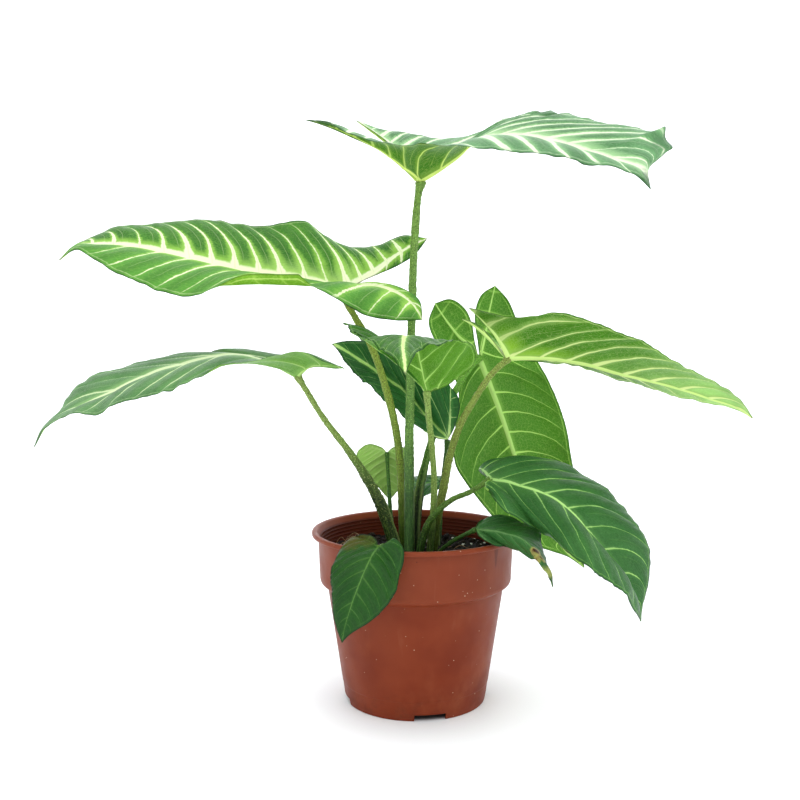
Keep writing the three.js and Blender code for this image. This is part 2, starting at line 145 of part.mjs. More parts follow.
// Petioles: x, y, z and radius from the crown to the junction.
const PETIOLES = {
  petiole_top: [[-4.4,-4,101.3,3.3],[-4.4,-4,136.1,3.1],[-4.5,-3,169.8,3],[-3.8,-2,203.4,2.9],[-3.2,-1,236.8,2.8],[-2.4,1,270,2.7],[-0.8,3,309.7,2.6],[1.2,5,336.1,2.4],[3.1,6,347,2.6]],
  petiole_upper_left: [[-7.8,6,99.6,3.3],[-9.5,5,148.2,2.9],[-13.2,3,182.6,2.7],[-20.5,1,213.2,2.5],[-29.8,-1,240.1,2.4],[-40,-2,258,2.2],[-48.6,-2,273.2,2.2]],
  petiole_lower_left: [[-13.2,-3,101,4.4],[-17.9,-4,117.7,4.3],[-25.6,-6,138.5,3.9],[-41.7,-9,166,2.6],[-60.1,-11,190.9,2],[-71.1,-12,208.9,1.9],[-77.2,-12,219.1,2]],
  petiole_center_front: [[9.7,-5,101.5,2.3],[11.7,-6,126.3,2.2],[12.2,-9,150.5,2.1],[10.6,-16,171.6,2],[8.3,-26,192.5,1.9],[6.7,-34,209.7,2]],
  petiole_center_back: [[10.9,10,99.4,2.6],[14.3,11,118,2.5],[17.7,12,136.6,2.3],[20.5,14,155.1,2],[22.2,17,172,1.7]],
  petiole_right_long: [[12,2,99.9,3.1],[14.6,2,121.3,3],[18.6,1,142,2.9],[23.1,-1,166.2,2.6],[29.6,-3,186.7,2.4],[38.8,-5,203.7,2.2],[49.1,-7,219.8,2],[60.2,-8,230.8,2]],
  petiole_right_hanging: [[-0.9,8,99.2,3.6],[1.9,13,133,3.4],[6.8,19,156.4,2.6],[13.9,25.5,179.3,2.3],[24.4,28.5,200.7,2.2],[36.3,31,220.2,2.1],[44.2,34.5,229.1,2.1]],
  petiole_right_front: [[2.9,-11,102.9,2.7],[5.5,-12,114,2.6],[9.4,-14,123.8,2.3],[16,-16,132.3,2],[24.4,-18,139.4,1.8],[35.4,-20,144.4,1.7],[47,-22,152.1,1.6]],
  petiole_rim_right: [[16.1,-14,102.9,1.5],[22.3,-24,111.3,1.4],[29.6,-33,117.9,1.3],[37.1,-40.5,123.4,1.3]],
  petiole_rim_front_left: [[-11.8,-16,102.1,1.5],[-16.3,-32,109.8,1.4],[-20.6,-50,115.6,1.3],[-23.4,-65,117.7,1.3]],
  petiole_small_back_left: [[-14,15,97.5,1.6],[-17.1,21,123,1.4],[-18.2,27,138.9,1.3],[-19.2,33,152.9,1.2],[-19.7,35.5,161.8,1.2]],
  petiole_small_back: [[16.7,20,97.1,1.4],[18.1,30,115.6,1.3],[19.1,39,128.2,1.2],[18.6,45,139.5,1.2]],
};

const wasm = await Module();
wasm.setup();

function toManifold(geometry) {
  const g = geometry.clone();
  g.deleteAttribute('normal');
  g.deleteAttribute('uv');
  const merged = BufferGeometryUtils.mergeVertices(g, 1e-4);
  return new wasm.Manifold(new wasm.Mesh({
    numProp: 3,
    vertProperties: new Float32Array(merged.attributes.position.array),
    triVerts: new Uint32Array(merged.index.array),
  }));
}

function fromManifold(solid) {
  const m = solid.getMesh();
  const g = new THREE.BufferGeometry();
  const n = m.vertProperties.length / m.numProp;
  const xyz = new Float32Array(n * 3);
  for (let i = 0; i < n; i++) for (let k = 0; k < 3; k++) xyz[3 * i + k] = m.vertProperties[i * m.numProp + k];
  g.setAttribute('position', new THREE.BufferAttribute(xyz, 3));
  g.setIndex(Array.from(m.triVerts));
  g.computeVertexNormals();
  return g;
}

// A profile of [radius, z] that starts and ends on the axis, turned about +Z.
function turned(profile, segments) {
  const g = new THREE.LatheGeometry(profile.map((p) => new THREE.Vector2(p[0], p[1])), segments);
  g.rotateX(Math.PI / 2);
  return g;
}

function outerRadius(z) {
  if (z <= BODY_TOP_Z) return BASE_RADIUS + (BODY_TOP_RADIUS - BASE_RADIUS) * z / BODY_TOP_Z;
  if (z <= BAND_BOTTOM_Z) return BODY_TOP_RADIUS + (BAND_BOTTOM_RADIUS - BODY_TOP_RADIUS) * (z - BODY_TOP_Z) / (BAND_BOTTOM_Z - BODY_TOP_Z);
  return BAND_BOTTOM_RADIUS + (BAND_TOP_RADIUS - BAND_BOTTOM_RADIUS) * (z - BAND_BOTTOM_Z) / (POT_HEIGHT - LIP_HEIGHT - BAND_BOTTOM_Z);
}

function makePot() {
  const lipUnder = POT_HEIGHT - LIP_HEIGHT;
  const profile = [
    [0, FLOOR_UNDERSIDE_Z], [FOOT_RING_INNER_RADIUS, FLOOR_UNDERSIDE_Z], [FOOT_RING_INNER_RADIUS, 0],
    [BASE_RADIUS - 0.5, 0], [BASE_RADIUS + 0.1, 0.8], [BODY_TOP_RADIUS, BODY_TOP_Z],
    [BAND_BOTTOM_RADIUS - 0.5, BAND_BOTTOM_Z - 0.6], [BAND_BOTTOM_RADIUS, BAND_BOTTOM_Z + 0.8], [BAND_TOP_RADIUS, lipUnder],
    [RIM_RADIUS - 0.6, lipUnder], [RIM_RADIUS, lipUnder + 0.8], [RIM_RADIUS, POT_HEIGHT - 1.2], [RIM_RADIUS - 1, POT_HEIGHT - 0.1], [RIM_RADIUS - 2, POT_HEIGHT],
    [LIP_INNER_RADIUS, POT_HEIGHT - 0.5], [BAND_TOP_RADIUS - WALL, POT_HEIGHT - 2.6],
    [BAND_BOTTOM_RADIUS - WALL, BAND_BOTTOM_Z + 1.4], [BODY_TOP_RADIUS - WALL, BODY_TOP_Z],
    [BASE_RADIUS + 1 - WALL, FLOOR_TOP_Z], [0, FLOOR_TOP_Z],
  ];
  let pot = toManifold(turned(profile, POT_SEGMENTS));
  for (const azimuth of NOTCH_AZIMUTHS) {
    const notch = new THREE.BoxGeometry(12, NOTCH_WIDTH, NOTCH_HEIGHT * 2);
    notch.translate(BASE_RADIUS - 1, 0, 0);
    notch.rotateZ(azimuth * DEG);
    pot = pot.subtract(toManifold(notch));
    const hole = new THREE.CylinderGeometry(DRAIN_HOLE_RADIUS, DRAIN_HOLE_RADIUS, 8, 16);
    hole.rotateX(Math.PI / 2);
    hole.translate(DRAIN_HOLE_RING, 0, FLOOR_TOP_Z - 1);
    hole.rotateZ(azimuth * DEG);
    pot = pot.subtract(toManifold(hole));
  }
  return fromManifold(pot);
}

function makeSoil() {
  const wall = (z) => outerRadius(z) - WALL - GAP - 0.25;
  const rise = 1.2; // the surface domes slightly towards the crown
  const profile = [
    [0, FLOOR_TOP_Z + GAP], [BASE_RADIUS + 0.6 - WALL - GAP, FLOOR_TOP_Z + GAP],
    [wall(BODY_TOP_Z) - 0.2, BODY_TOP_Z], [wall(BAND_BOTTOM_Z) - 1.2, BAND_BOTTOM_Z + 1.8],
    [wall(SOIL_Z) - 0.4, SOIL_Z - rise], [0, SOIL_Z - rise + 0.8],
  ];
  return fromManifold(toManifold(turned(profile, 48)));
}

// One blade as a thin closed sheet: a grid of points over both halves, given a thickness along
// the surface normal.
function makeBlade(spec) {
  const points = [];
  const faces = [];
  const key = new Map();
  const add = (id, p) => {
    if (!key.has(id)) { key.set(id, points.length); points.push(p); }
    return key.get(id);
  };
  const nMid = spec.midrib.length - 1;
  const nLobe = spec.ribA.length - 1;
  for (const side of ['A', 'B']) {
    const spine = [...spec.midrib, ...spec['rib' + side].slice(1)].map(v3);
    const outer = spec['outer' + side].map(v3);
    const inner = spec['inner' + side].map(v3);
    const camber = spec['camber' + side];
    const last = spine.length - 1;
    const idOf = (i, j) => {
      if (i === 0) return 'tip';
      if (i === last) return 'lobe' + side;
      if (j === 0) return i <= nMid ? 'mid' + i : 'rib' + side + i;
      return 'o' + side + i + '_' + j;
    };
    const grid = [];
    for (let i = 0; i <= last; i++) {
      const row = [];
      const along = outer[Math.min(i + 1, last)].clone().sub(outer[Math.max(i - 1, 0)])
        .add(spine[Math.min(i + 1, last)]).sub(spine[Math.max(i - 1, 0)]).normalize();
      const across = outer[i].clone().sub(spine[i]);
      const width = across.length();
      const normal = along.clone().cross(across).normalize().multiplyScalar(spec.upper * (side === 'A' ? 1 : -1));
      for (let j = 0; j <= STEPS_ACROSS; j++) {
        const t = j / STEPS_ACROSS;
        const p = spine[i].clone().addScaledVector(across, t);
        if (width > 0.5) p.addScaledVector(normal, camber * Math.min(1, width / 35) * 4 * t * (1 - t));
        row.push(add(idOf(i, j), p));
      }
      grid.push(row);
    }
    const tri = (a, b, c) => {
      if (a === b || b === c || a === c) return;
      faces.push((side === 'A') === (spec.upper > 0) ? [a, b, c] : [a, c, b]);
    };
    for (let i = 0; i < last; i++) for (let j = 0; j < STEPS_ACROSS; j++) {
      tri(grid[i][j], grid[i + 1][j], grid[i + 1][j + 1]);
      tri(grid[i][j], grid[i + 1][j + 1], grid[i][j + 1]);
    }
    const innerIds = inner.map((p, i) => i === 0 ? key.get(idOf(nMid, 0)) : i === nLobe ? key.get(idOf(last, 0)) : add('i' + side + i, p));
    for (let i = 0; i < nLobe; i++) {
      const a = grid[nMid + i][0];
      const b = grid[nMid + i + 1][0];
      tri(a, innerIds[i + 1], b);
      tri(a, innerIds[i], innerIds[i + 1]);
    }
  }
  // vertex normals on the upper side
  const normals = points.map(() => new THREE.Vector3());
  for (const [a, b, c] of faces) {
    const n = points[b].clone().sub(points[a]).cross(points[c].clone().sub(points[a]));
    for (const k of [a, b, c]) normals[k].add(n);
  }
  normals.forEach((n) => n.normalize());
  const count = points.length;
  const xyz = [];
  for (const s of [0.5, -0.5]) points.forEach((p, k) => {
    const q = p.clone().addScaledVector(normals[k], s * BLADE_THICKNESS);
    xyz.push(q.x, q.y, q.z);
  });
  const index = [];
  for (const [a, b, c] of faces) index.push(a, b, c, a + count, c + count, b + count);
  // rim: each border edge in the direction its upper face uses it
  const directed = new Set();
  for (const [a, b, c] of faces) { directed.add(a + '_' + b); directed.add(b + '_' + c); directed.add(c + '_' + a); }
  for (const e of directed) {
    const [a, b] = e.split('_').map(Number);
    if (directed.has(b + '_' + a)) continue;
    index.push(a, a + count, b, b, a + count, b + count);
  }
  const g = new THREE.BufferGeometry();
  g.setAttribute('position', new THREE.BufferAttribute(new Float32Array(xyz), 3));
  g.setIndex(index);
  g.computeVertexNormals();
  return g;
}

// A petiole: a tapering round stalk along a smooth curve, cut level at the soil.
function makePetiole(rows) {
  const curve = new THREE.CatmullRomCurve3(rows.map(v3), false, 'centripetal');
  const length = curve.getLength();
  const startZ = SOIL_Z + GAP + 0.15;
  let u0 = 0;
  while (curve.getPointAt(u0).z < startZ && u0 < 0.5) u0 += 0.001;
  const u1 = 1 - JUNCTION_GAP / length;
  const radii = rows.map((r) => r[3]);
  const rings = [];
  let side = new THREE.Vector3(1, 0, 0);
  for (let i = 0; i <= PETIOLE_STEPS; i++) {
    const u = u0 + (u1 - u0) * i / PETIOLE_STEPS;
    const centre = curve.getPointAt(u);
    const tangent = curve.getTangentAt(u);
    if (i === 0) { centre.z = startZ; tangent.set(0, 0, 1); }
    side = side.clone().addScaledVector(tangent, -side.dot(tangent)).normalize();
    const up = tangent.clone().cross(side);
    const s = curve.getUtoTmapping(u) * (radii.length - 1);
    const k = Math.min(Math.floor(s), radii.length - 2);
    const r = radii[k] + (radii[k + 1] - radii[k]) * (s - k);
    const ring = [];
    for (let j = 0; j < PETIOLE_SIDES; j++) {
      const a = 2 * Math.PI * j / PETIOLE_SIDES;
      ring.push(centre.clone().addScaledVector(side, r * Math.cos(a)).addScaledVector(up, r * Math.sin(a)));
    }
    rings.push(ring);
  }
  const xyz = rings.flat().flatMap((p) => [p.x, p.y, p.z]);
  const index = [];
  const n = PETIOLE_SIDES;
  for (let i = 0; i < PETIOLE_STEPS; i++) for (let j = 0; j < n; j++) {
    const a = i * n + j, b = i * n + (j + 1) % n, c = a + n, d = b + n;
    index.push(a, b, d, a, d, c);
  }
  for (let j = 1; j < n - 1; j++) {
    index.push(0, j + 1, j);
    const t = PETIOLE_STEPS * n;
    index.push(t, t + j, t + j + 1);
  }
  const g = new THREE.BufferGeometry();
  g.setAttribute('position', new THREE.BufferAttribute(new Float32Array(xyz), 3));
  g.setIndex(index);
  g.computeVertexNormals();
  return g;
}

const plastic = () => new THREE.MeshStandardMaterial({ color: 0x9c5138, roughness: 0.5, metalness: 0 });
const earth = () => new THREE.MeshStandardMaterial({ color: 0x1c1410, roughness: 0.95, metalness: 0 });
const leafGreen = () => new THREE.MeshStandardMaterial({ color: 0x3f7d38, roughness: 0.45, metalness: 0, side: THREE.FrontSide });
const stalkGreen = () => new THREE.MeshStandardMaterial({ color: 0x6f7f38, roughness: 0.5, metalness: 0 });

const plant = new THREE.Group();
function place(name, geometry, material) {
  const mesh = new THREE.Mesh(geometry, material);
  mesh.name = name;
  plant.add(mesh);
}
place('pot', makePot(), plastic());
place('soil', makeSoil(), earth());
for (const [name, rows] of Object.entries(PETIOLES)) place(name, makePetiole(rows), stalkGreen());
for (const [name, spec] of Object.entries(BLADES)) place(name, makeBlade(spec), leafGreen());

// Origin at table level under the middle of the plant's footprint.
const footprint = new THREE.Box3().setFromObject(plant, true);
plant.position.set(-(footprint.min.x + footprint.max.x) / 2, -(footprint.min.y + footprint.max.y) / 2, 0);
const group = new THREE.Group();
group.add(plant);

export default group;
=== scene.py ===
import math
import random

import bmesh
import bpy
import numpy as np
from mathutils import Matrix, Vector, noise


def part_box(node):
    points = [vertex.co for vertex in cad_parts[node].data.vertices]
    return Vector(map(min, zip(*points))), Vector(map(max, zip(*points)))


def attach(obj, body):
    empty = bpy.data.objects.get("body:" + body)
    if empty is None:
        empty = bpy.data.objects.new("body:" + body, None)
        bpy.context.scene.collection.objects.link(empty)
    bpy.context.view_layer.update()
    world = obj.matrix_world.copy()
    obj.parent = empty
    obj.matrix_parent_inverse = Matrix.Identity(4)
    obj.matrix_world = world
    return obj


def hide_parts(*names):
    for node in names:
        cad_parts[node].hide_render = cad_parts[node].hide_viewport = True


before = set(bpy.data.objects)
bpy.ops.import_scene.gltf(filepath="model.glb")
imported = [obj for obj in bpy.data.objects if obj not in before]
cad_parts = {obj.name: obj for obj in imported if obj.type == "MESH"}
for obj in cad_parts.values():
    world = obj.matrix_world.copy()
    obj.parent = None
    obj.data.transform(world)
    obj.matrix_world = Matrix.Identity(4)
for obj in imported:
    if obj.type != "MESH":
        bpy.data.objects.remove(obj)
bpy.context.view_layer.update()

MM = 0.001
pot_lo, pot_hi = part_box("pot")
AXIS = np.array([(pot_lo.x + pot_hi.x) / 2, (pot_lo.y + pot_hi.y) / 2, 0.0])   # pot axis, metres
rng = random.Random(7)

# ---------------------------------------------------------------- constants of the part, mm from the pot's axis
BLADES = {
  'leaf_top': dict(upper=-1, camberA=2.5, camberB=5, nv=13,
    midrib=[[147.1,-32,338.9],[143.1,-25.6,350.8],[132.1,-17.7,355.5],[119.9,-11.6,360.3],[107.1,-7.1,365],[93.8,-3.8,369.6],[80.4,-0.4,373.5],[66.5,2.4,376],[52.2,4.4,375.7],[38.1,6,373.4],[27.2,7,364.1],[15.3,7,355.9],[3.1,6,348.3]],
    ribA=[[3.1,6,348.3],[-3.5,15.9,357.9],[-10.8,24.8,367.7],[-19.4,32.8,377.3],[-29.7,39.5,386.2],[-41.1,44,395.1]],
    ribB=[[3.1,6,348.3],[-7.7,-7.1,355.7],[-21,-16.6,364.5],[-36,-25.1,371.3],[-52.1,-32.2,377.3],[-69.3,-38,380.9]],
    outerA=[[147.1,-32,338.9],[149,-17.6,353.2],[161.3,-5.1,364.3],[164.2,4.5,376.3],[153.5,11.8,383.7],[140.8,17,387],[127.6,21.9,389.4],[114.2,25.4,392.7],[100.7,27.7,397.2],[86.7,28.9,398.8],[72.7,29,396.6],[59.1,27.6,391.5],[45.9,24.7,384.8],[29.3,32.2,381.6],[11.6,38.3,383],[-6.2,42.9,386.1],[-24,45.6,389.3],[-41.1,44,395.1]],
    outerB=[[147.1,-32,338.9],[136.3,-37.6,346.2],[125.3,-36.4,351.3],[113.5,-35.5,354.3],[101.4,-35,356.4],[89.2,-34.7,358.1],[77.2,-33.4,359.9],[65.1,-31.8,362.2],[53,-30.1,363.8],[40.8,-27.9,364.7],[28.5,-25.7,365.8],[16.2,-23.6,367.6],[3.8,-21.8,369.2],[-11.6,-31.3,366.5],[-26.7,-36.6,367.6],[-40.9,-40.1,371.6],[-54.3,-41.2,378.3],[-69.3,-38,380.9]],
    innerA=[[3.1,6,348.3],[-3.5,15.9,359.4],[-11,24.8,370.1],[-20.2,32.8,379.5],[-30.4,39.5,387.7],[-41.1,44,395.1]],
    innerB=[[3.1,6,348.3],[-10.8,-7.1,357],[-24.6,-16.6,365.5],[-39.5,-25.1,371.2],[-54.3,-32.2,376.6],[-69.3,-38,380.9]],),
  'leaf_upper_left': dict(upper=1, camberA=4, camberB=5, nv=12,
    midrib=[[-230,-20,295.4],[-217.8,-18.9,303.9],[-202.4,-15.7,305],[-187,-12.5,304.5],[-171.6,-9.8,302.1],[-156.3,-7.3,299],[-141.1,-5.2,295.5],[-125.8,-3.6,291.8],[-110.5,-2.4,288.1],[-94.9,-1.2,285.7],[-79.3,-1,283.5],[-63.9,-1.1,280.2],[-48.9,-2,275.2]],
    ribA=[[-48.9,-2,275.2],[-38,5.5,282.2],[-26.9,12.4,289.6],[-16,18,298.2],[-4.4,22.8,306.2],[8.6,27,312.4]],
    ribB=[[-48.9,-2,275.2],[-37.7,-9.2,277.7],[-25.8,-15.5,278.2],[-13.8,-20.6,274.7],[-3.2,-25.2,267.7],[4,-29,257]],
    outerA=[[-230,-20,295.4],[-223.2,-9.8,304],[-213.2,-1.5,311.4],[-202.2,5.6,318.2],[-189.5,11.5,320.8],[-176.1,16.3,321.7],[-162.3,19.9,323.3],[-148.2,22.4,324.4],[-133.8,23.9,324.4],[-119.4,24.6,322.1],[-104.6,23.8,320.9],[-89.8,22.1,322.2],[-75.6,19.1,323.6],[-61.1,24,313.7],[-44.3,27.6,307.2],[-26.3,29.4,307.9],[-9.2,29.6,314.4],[8.6,27,312.4]],
    outerB=[[-230,-20,295.4],[-214.3,-32.9,301],[-201.7,-37.7,294.8],[-189.7,-40.6,287.7],[-177.5,-42.5,281.7],[-165.1,-43.6,276.8],[-152.4,-44,273.1],[-139.6,-43.7,272.3],[-126.6,-42.9,274.4],[-113.7,-41.1,275.6],[-100.7,-39.3,276.3],[-87.7,-37,276.3],[-74.6,-34.6,276.3],[-58.2,-37.6,273.7],[-43.7,-39,265.9],[-28.8,-38.2,259.5],[-12.5,-35.7,256.7],[4,-29,257]],
    innerA=[[-48.9,-2,275.2],[-37.1,5.5,281.8],[-24.6,12.4,287.5],[-11.9,18,293.3],[-0,22.8,301.3],[8.6,27,312.4]],
    innerB=[[-48.9,-2,275.2],[-35.9,-9.2,281.2],[-22.2,-15.5,281.1],[-8.9,-20.6,277.4],[2,-25.2,269.6],[4,-29,257]],),
  'leaf_lower_left': dict(upper=1, camberA=1.5, camberB=2.5, nv=10,
    midrib=[[-242.7,-40,176.9],[-235.5,-36.1,190],[-222.7,-32.4,198],[-208.7,-29.1,204.1],[-194.8,-26.4,210.6],[-181,-23.9,217.5],[-166.9,-21.5,223.7],[-152.1,-19,228],[-137.1,-17.2,231.8],[-121.8,-15.2,234.5],[-106.3,-14,233.1],[-91.9,-13,227.5],[-77.9,-12,220.6]],
    ribA=[[-77.9,-12,220.6],[-75.3,-4.7,224],[-71.5,2.4,226.4],[-66.4,9.1,227],[-60.1,14.7,226.9],[-53.1,19,225]],
    ribB=[[-77.9,-12,220.6],[-73.4,-18.3,224.6],[-67.1,-23.2,227.8],[-60.2,-28.4,228.3],[-52.9,-33.1,228.1],[-45.3,-37,226.6]],
    outerA=[[-242.7,-40,176.9],[-242.6,-24.9,185.8],[-237.9,-14.9,194.4],[-232.6,-6.8,203.7],[-226.2,-0.3,212.9],[-216.6,5,219],[-205.7,9.3,223.2],[-194.2,12.9,226.5],[-182,15,229.2],[-169.5,16.6,231.4],[-156.6,16.5,233.1],[-143.4,15.6,233.9],[-130.7,13.9,237.6],[-115.6,17.9,236.7],[-100.5,21.1,232.6],[-84.7,23.1,231],[-68.8,23.1,229.2],[-53.1,19,225]],
    outerB=[[-242.7,-40,176.9],[-233.2,-50.3,188.6],[-222,-54.6,195.8],[-209.6,-57.5,199],[-197.4,-59.6,199.2],[-187,-60.7,205.2],[-175.9,-60.7,208.6],[-164.6,-59.7,209.8],[-154.4,-58.2,213.1],[-144.4,-55.6,218],[-134.2,-52.8,222.5],[-124.5,-49.3,228],[-113.7,-45,229.7],[-99.3,-47,232.7],[-85.7,-46.9,236.1],[-71.4,-46.2,237.4],[-58.6,-43.8,231.7],[-45.3,-37,226.6]],
    innerA=[[-77.9,-12,220.6],[-74.5,-4.7,224.3],[-69.7,2.4,225.6],[-64.3,9.1,225.5],[-58.7,14.7,224.6],[-53.1,19,225]],
    innerB=[[-77.9,-12,220.6],[-72,-18.3,224.9],[-65.3,-23.2,226.5],[-58.4,-28.4,226.5],[-51.8,-33.1,226],[-45.3,-37,226.6]],),
  'leaf_center_front': dict(upper=1, camberA=2, camberB=2, nv=8,
    midrib=[[-7.5,-148,229.5],[-8.4,-139.3,236.7],[-8.9,-128.7,240.8],[-9.1,-117.7,243.6],[-8.7,-106.7,246.4],[-7.9,-95.5,248.3],[-6.4,-84.2,248.1],[-4,-73.2,246.6],[-1.7,-62.5,243.8],[0.5,-52.6,238.6],[2.3,-44.6,230.8],[4.3,-38.5,221.5],[6.7,-34,211.3]],
    ribA=[[6.7,-34,211.3],[-0.4,-37,223.6],[-9.4,-39.5,234.7],[-20.4,-41.7,243.9],[-33,-43.8,250.8],[-46.5,-46,255.6]],
    ribB=[[6.7,-34,211.3],[11.3,-33.3,213.9],[16,-32.7,216],[20.9,-32.1,218],[25.7,-31.5,220.1],[30.4,-31,222.3]],
    outerA=[[-7.5,-148,229.5],[-11,-144.6,233.4],[-13.8,-140.2,237.1],[-16.8,-135.2,239.5],[-19.7,-129.9,241.4],[-22.4,-124.4,243.1],[-25,-118.9,244.9],[-27.6,-113.3,246.3],[-30,-107.5,246.7],[-32.3,-101.6,247],[-34.4,-95.7,247.8],[-36.3,-89.7,248.8],[-37.9,-83.7,249.8],[-39.5,-76.2,251],[-41,-68.6,252.2],[-42.8,-61,253.4],[-44.6,-53.5,254.5],[-46.5,-46,255.6]],
    outerB=[[-7.5,-148,229.5],[-5.3,-142.5,234.4],[-3.3,-135.9,237.8],[-1.5,-128.9,240.4],[1.1,-122,241.9],[4.9,-115.4,243],[8.7,-108.7,243.7],[12.3,-102,244.2],[16,-95.3,244.7],[19.6,-88.5,245.1],[23.2,-81.8,245.4],[26.6,-75,245.6],[29.8,-68.1,244.8],[33.3,-59.6,242.3],[36.2,-51.3,238.9],[37.5,-43.2,234.1],[35.7,-35.9,228.2],[30.4,-31,222.3]],
    innerA=[[6.7,-34,211.3],[-2.5,-37,222.7],[-11.5,-39.5,234.1],[-20.9,-41.7,244.8],[-32.7,-43.8,252.5],[-46.5,-46,255.6]],
    innerB=[[6.7,-34,211.3],[12,-33.3,212.3],[17,-32.7,213.9],[21.7,-32.1,216.4],[25.7,-31.5,219.8],[30.4,-31,222.3]],),
  'leaf_center_back': dict(upper=1, camberA=3, camberB=3, nv=9,
    midrib=[[-59.3,50,239.1],[-51.3,48,234.9],[-43.7,45.6,230.3],[-36.2,43.2,225.5],[-28.7,40.9,220.7],[-21.4,38.2,215.8],[-14.2,35.2,210.8],[-7,32.3,205.9],[-0.8,29.2,199.8],[4.8,26,193.3],[10.6,22.9,186.8],[16.5,19.9,180.4],[22.6,17,174.1]],
    ribA=[[22.6,17,174.1],[23.1,17.3,181.4],[23.6,17.8,188.8],[23.9,18.7,196.1],[24,19.9,203.3],[24.4,21,210.6]],
    ribB=[[22.6,17,174.1],[19.1,15.1,175.1],[15.6,13.3,176.4],[12.2,11.5,177.9],[8.9,9.7,179.6],[5.8,8,181.7]],
    outerA=[[-59.3,50,239.1],[-54.2,50.8,240.5],[-49,50,241.2],[-43.7,48.7,241.5],[-38.3,47.4,241.6],[-33,45.4,241.6],[-27.8,42.9,240.9],[-22.6,40.2,239.8],[-17.6,37.2,238.5],[-12.7,33.9,236.8],[-7.9,30.5,235.1],[-3.2,27,233.2],[1.4,23.4,231.2],[7,22.9,228.3],[12.4,22.5,225],[17,22.1,220.9],[21,21.9,216.1],[24.4,21,210.6]],
    outerB=[[-59.3,50,239.1],[-55.7,46.3,235.5],[-52.6,42.9,231.6],[-49.9,39.7,227.5],[-46.9,36.9,223.7],[-43.6,33.7,220.1],[-39.7,30.5,217.1],[-35.9,27.4,214.1],[-32.1,24.2,211.2],[-28.4,21.1,208.2],[-24.9,18.2,205.1],[-21.5,15.5,201.8],[-18,13,198.7],[-13.5,11.6,195],[-8.8,10.4,191.5],[-3.9,9.3,188.2],[0.9,8.4,184.9],[5.8,8,181.7]],
    innerA=[[22.6,17,174.1],[26.4,17.3,181.2],[29,17.8,188.7],[30.8,18.7,196.5],[29.3,19.9,204.3],[24.4,21,210.6]],
    innerB=[[22.6,17,174.1],[18.8,15.1,174.5],[15.2,13.3,175.4],[11.7,11.5,177],[8.6,9.7,179.1],[5.8,8,181.7]],),
  'leaf_right_long': dict(upper=-1, camberA=3, camberB=2, nv=11,
    midrib=[[216.2,-30,194.3],[204.8,-28.4,201.3],[192,-26.1,205.3],[179.3,-24.2,209.6],[166.4,-22.3,213.5],[153.4,-20.4,216.9],[140.3,-18.5,219.9],[127.2,-16.6,223.1],[114.3,-14.7,227],[101.1,-12.9,229.5],[87.8,-10.9,231.3],[74.4,-9.2,231.7],[60.8,-8,231.8]],
    ribA=[[60.8,-8,231.8],[56.3,-0.6,236.6],[51.3,5.9,242.1],[45.6,11.8,247.8],[39.4,17.4,253],[32.4,23,257.3]],
    ribB=[[60.8,-8,231.8],[56.7,-13.7,239.1],[51.9,-19.3,246.1],[46.3,-24.6,252.7],[40,-29.5,258.9],[33.1,-34,264.8]],
    outerA=[[216.2,-30,194.3],[211,-15.2,197.7],[202.9,-5.5,199.3],[193.8,2.1,201],[184.3,8.4,203.3],[174.3,13.7,205.8],[163.9,17.8,208.5],[153.2,21,211.5],[142.2,23.2,214.5],[131.3,24.6,218.6],[120.1,25.1,222.4],[108.2,24.4,224.7],[96.1,22.6,226.1],[81.9,26.1,227.6],[67.9,27.9,230.7],[56.1,28.2,239.8],[45.4,27.3,250.1],[32.4,23,257.3]],
    outerB=[[216.2,-30,194.3],[205.8,-42.2,204.9],[195.9,-47.8,212.9],[185.6,-51.9,219.2],[174.5,-54.7,223.3],[164.6,-56.3,228.7],[155.1,-56.8,234.1],[146.3,-56.3,240.3],[137,-54.7,245],[127.3,-52.2,248.4],[118.2,-48.7,253],[108.8,-44.7,256.8],[99,-40.2,259.7],[85.4,-41.8,261.5],[72,-42.4,259.6],[58.8,-42,258.9],[45.9,-39.9,261.9],[33.1,-34,264.8]],
    innerA=[[60.8,-8,231.8],[56.3,-0.6,237.8],[51.5,5.9,243.9],[46.5,11.8,250.1],[40.1,17.4,254.9],[32.4,23,257.3]],
    innerB=[[60.8,-8,231.8],[56.3,-13.7,239.4],[50.9,-19.3,246.4],[45,-24.6,252.8],[38.9,-29.5,258.8],[33.1,-34,264.8]],),
  'leaf_right_hanging': dict(upper=1, camberA=5, camberB=5, nv=11,
    midrib=[[127.5,70,71],[115.9,69.8,81],[106.8,67.9,93.2],[98.9,65.7,106.2],[91.6,63.3,119.4],[84.7,60.9,132.9],[78,58.3,146.5],[72,55.4,160.3],[67.1,52.3,174.5],[62,49,188.6],[56.6,45.2,202.4],[51,41.2,216.1],[45.1,37,229.7]],
    ribA=[[45.1,37,229.7],[47.8,40.7,239.8],[50.3,44.5,249.9],[52.4,48.3,260.2],[54.9,51.8,270.5],[57.6,55,280.8]],
    ribB=[[45.1,37,229.7],[40,39,238.2],[32,41.4,244.1],[25.6,43.8,251.8],[19.7,46.4,259.9],[14.4,49,268.2]],
    outerA=[[127.5,70,71],[125.4,67,84.3],[124.1,63.6,97.6],[122.6,60.1,110.8],[120.8,56.9,123.7],[118.1,53.7,136.4],[115,50.6,148.9],[112.2,47.5,161.2],[109.7,44.3,173.5],[106.2,41.1,185.5],[101.8,37.6,197.1],[96.7,34.1,208.3],[90.8,30.6,219],[84.3,35.1,231.3],[78.1,39.8,244],[72.1,44.8,257],[66.5,49.7,270.2],[57.6,55,280.8]],
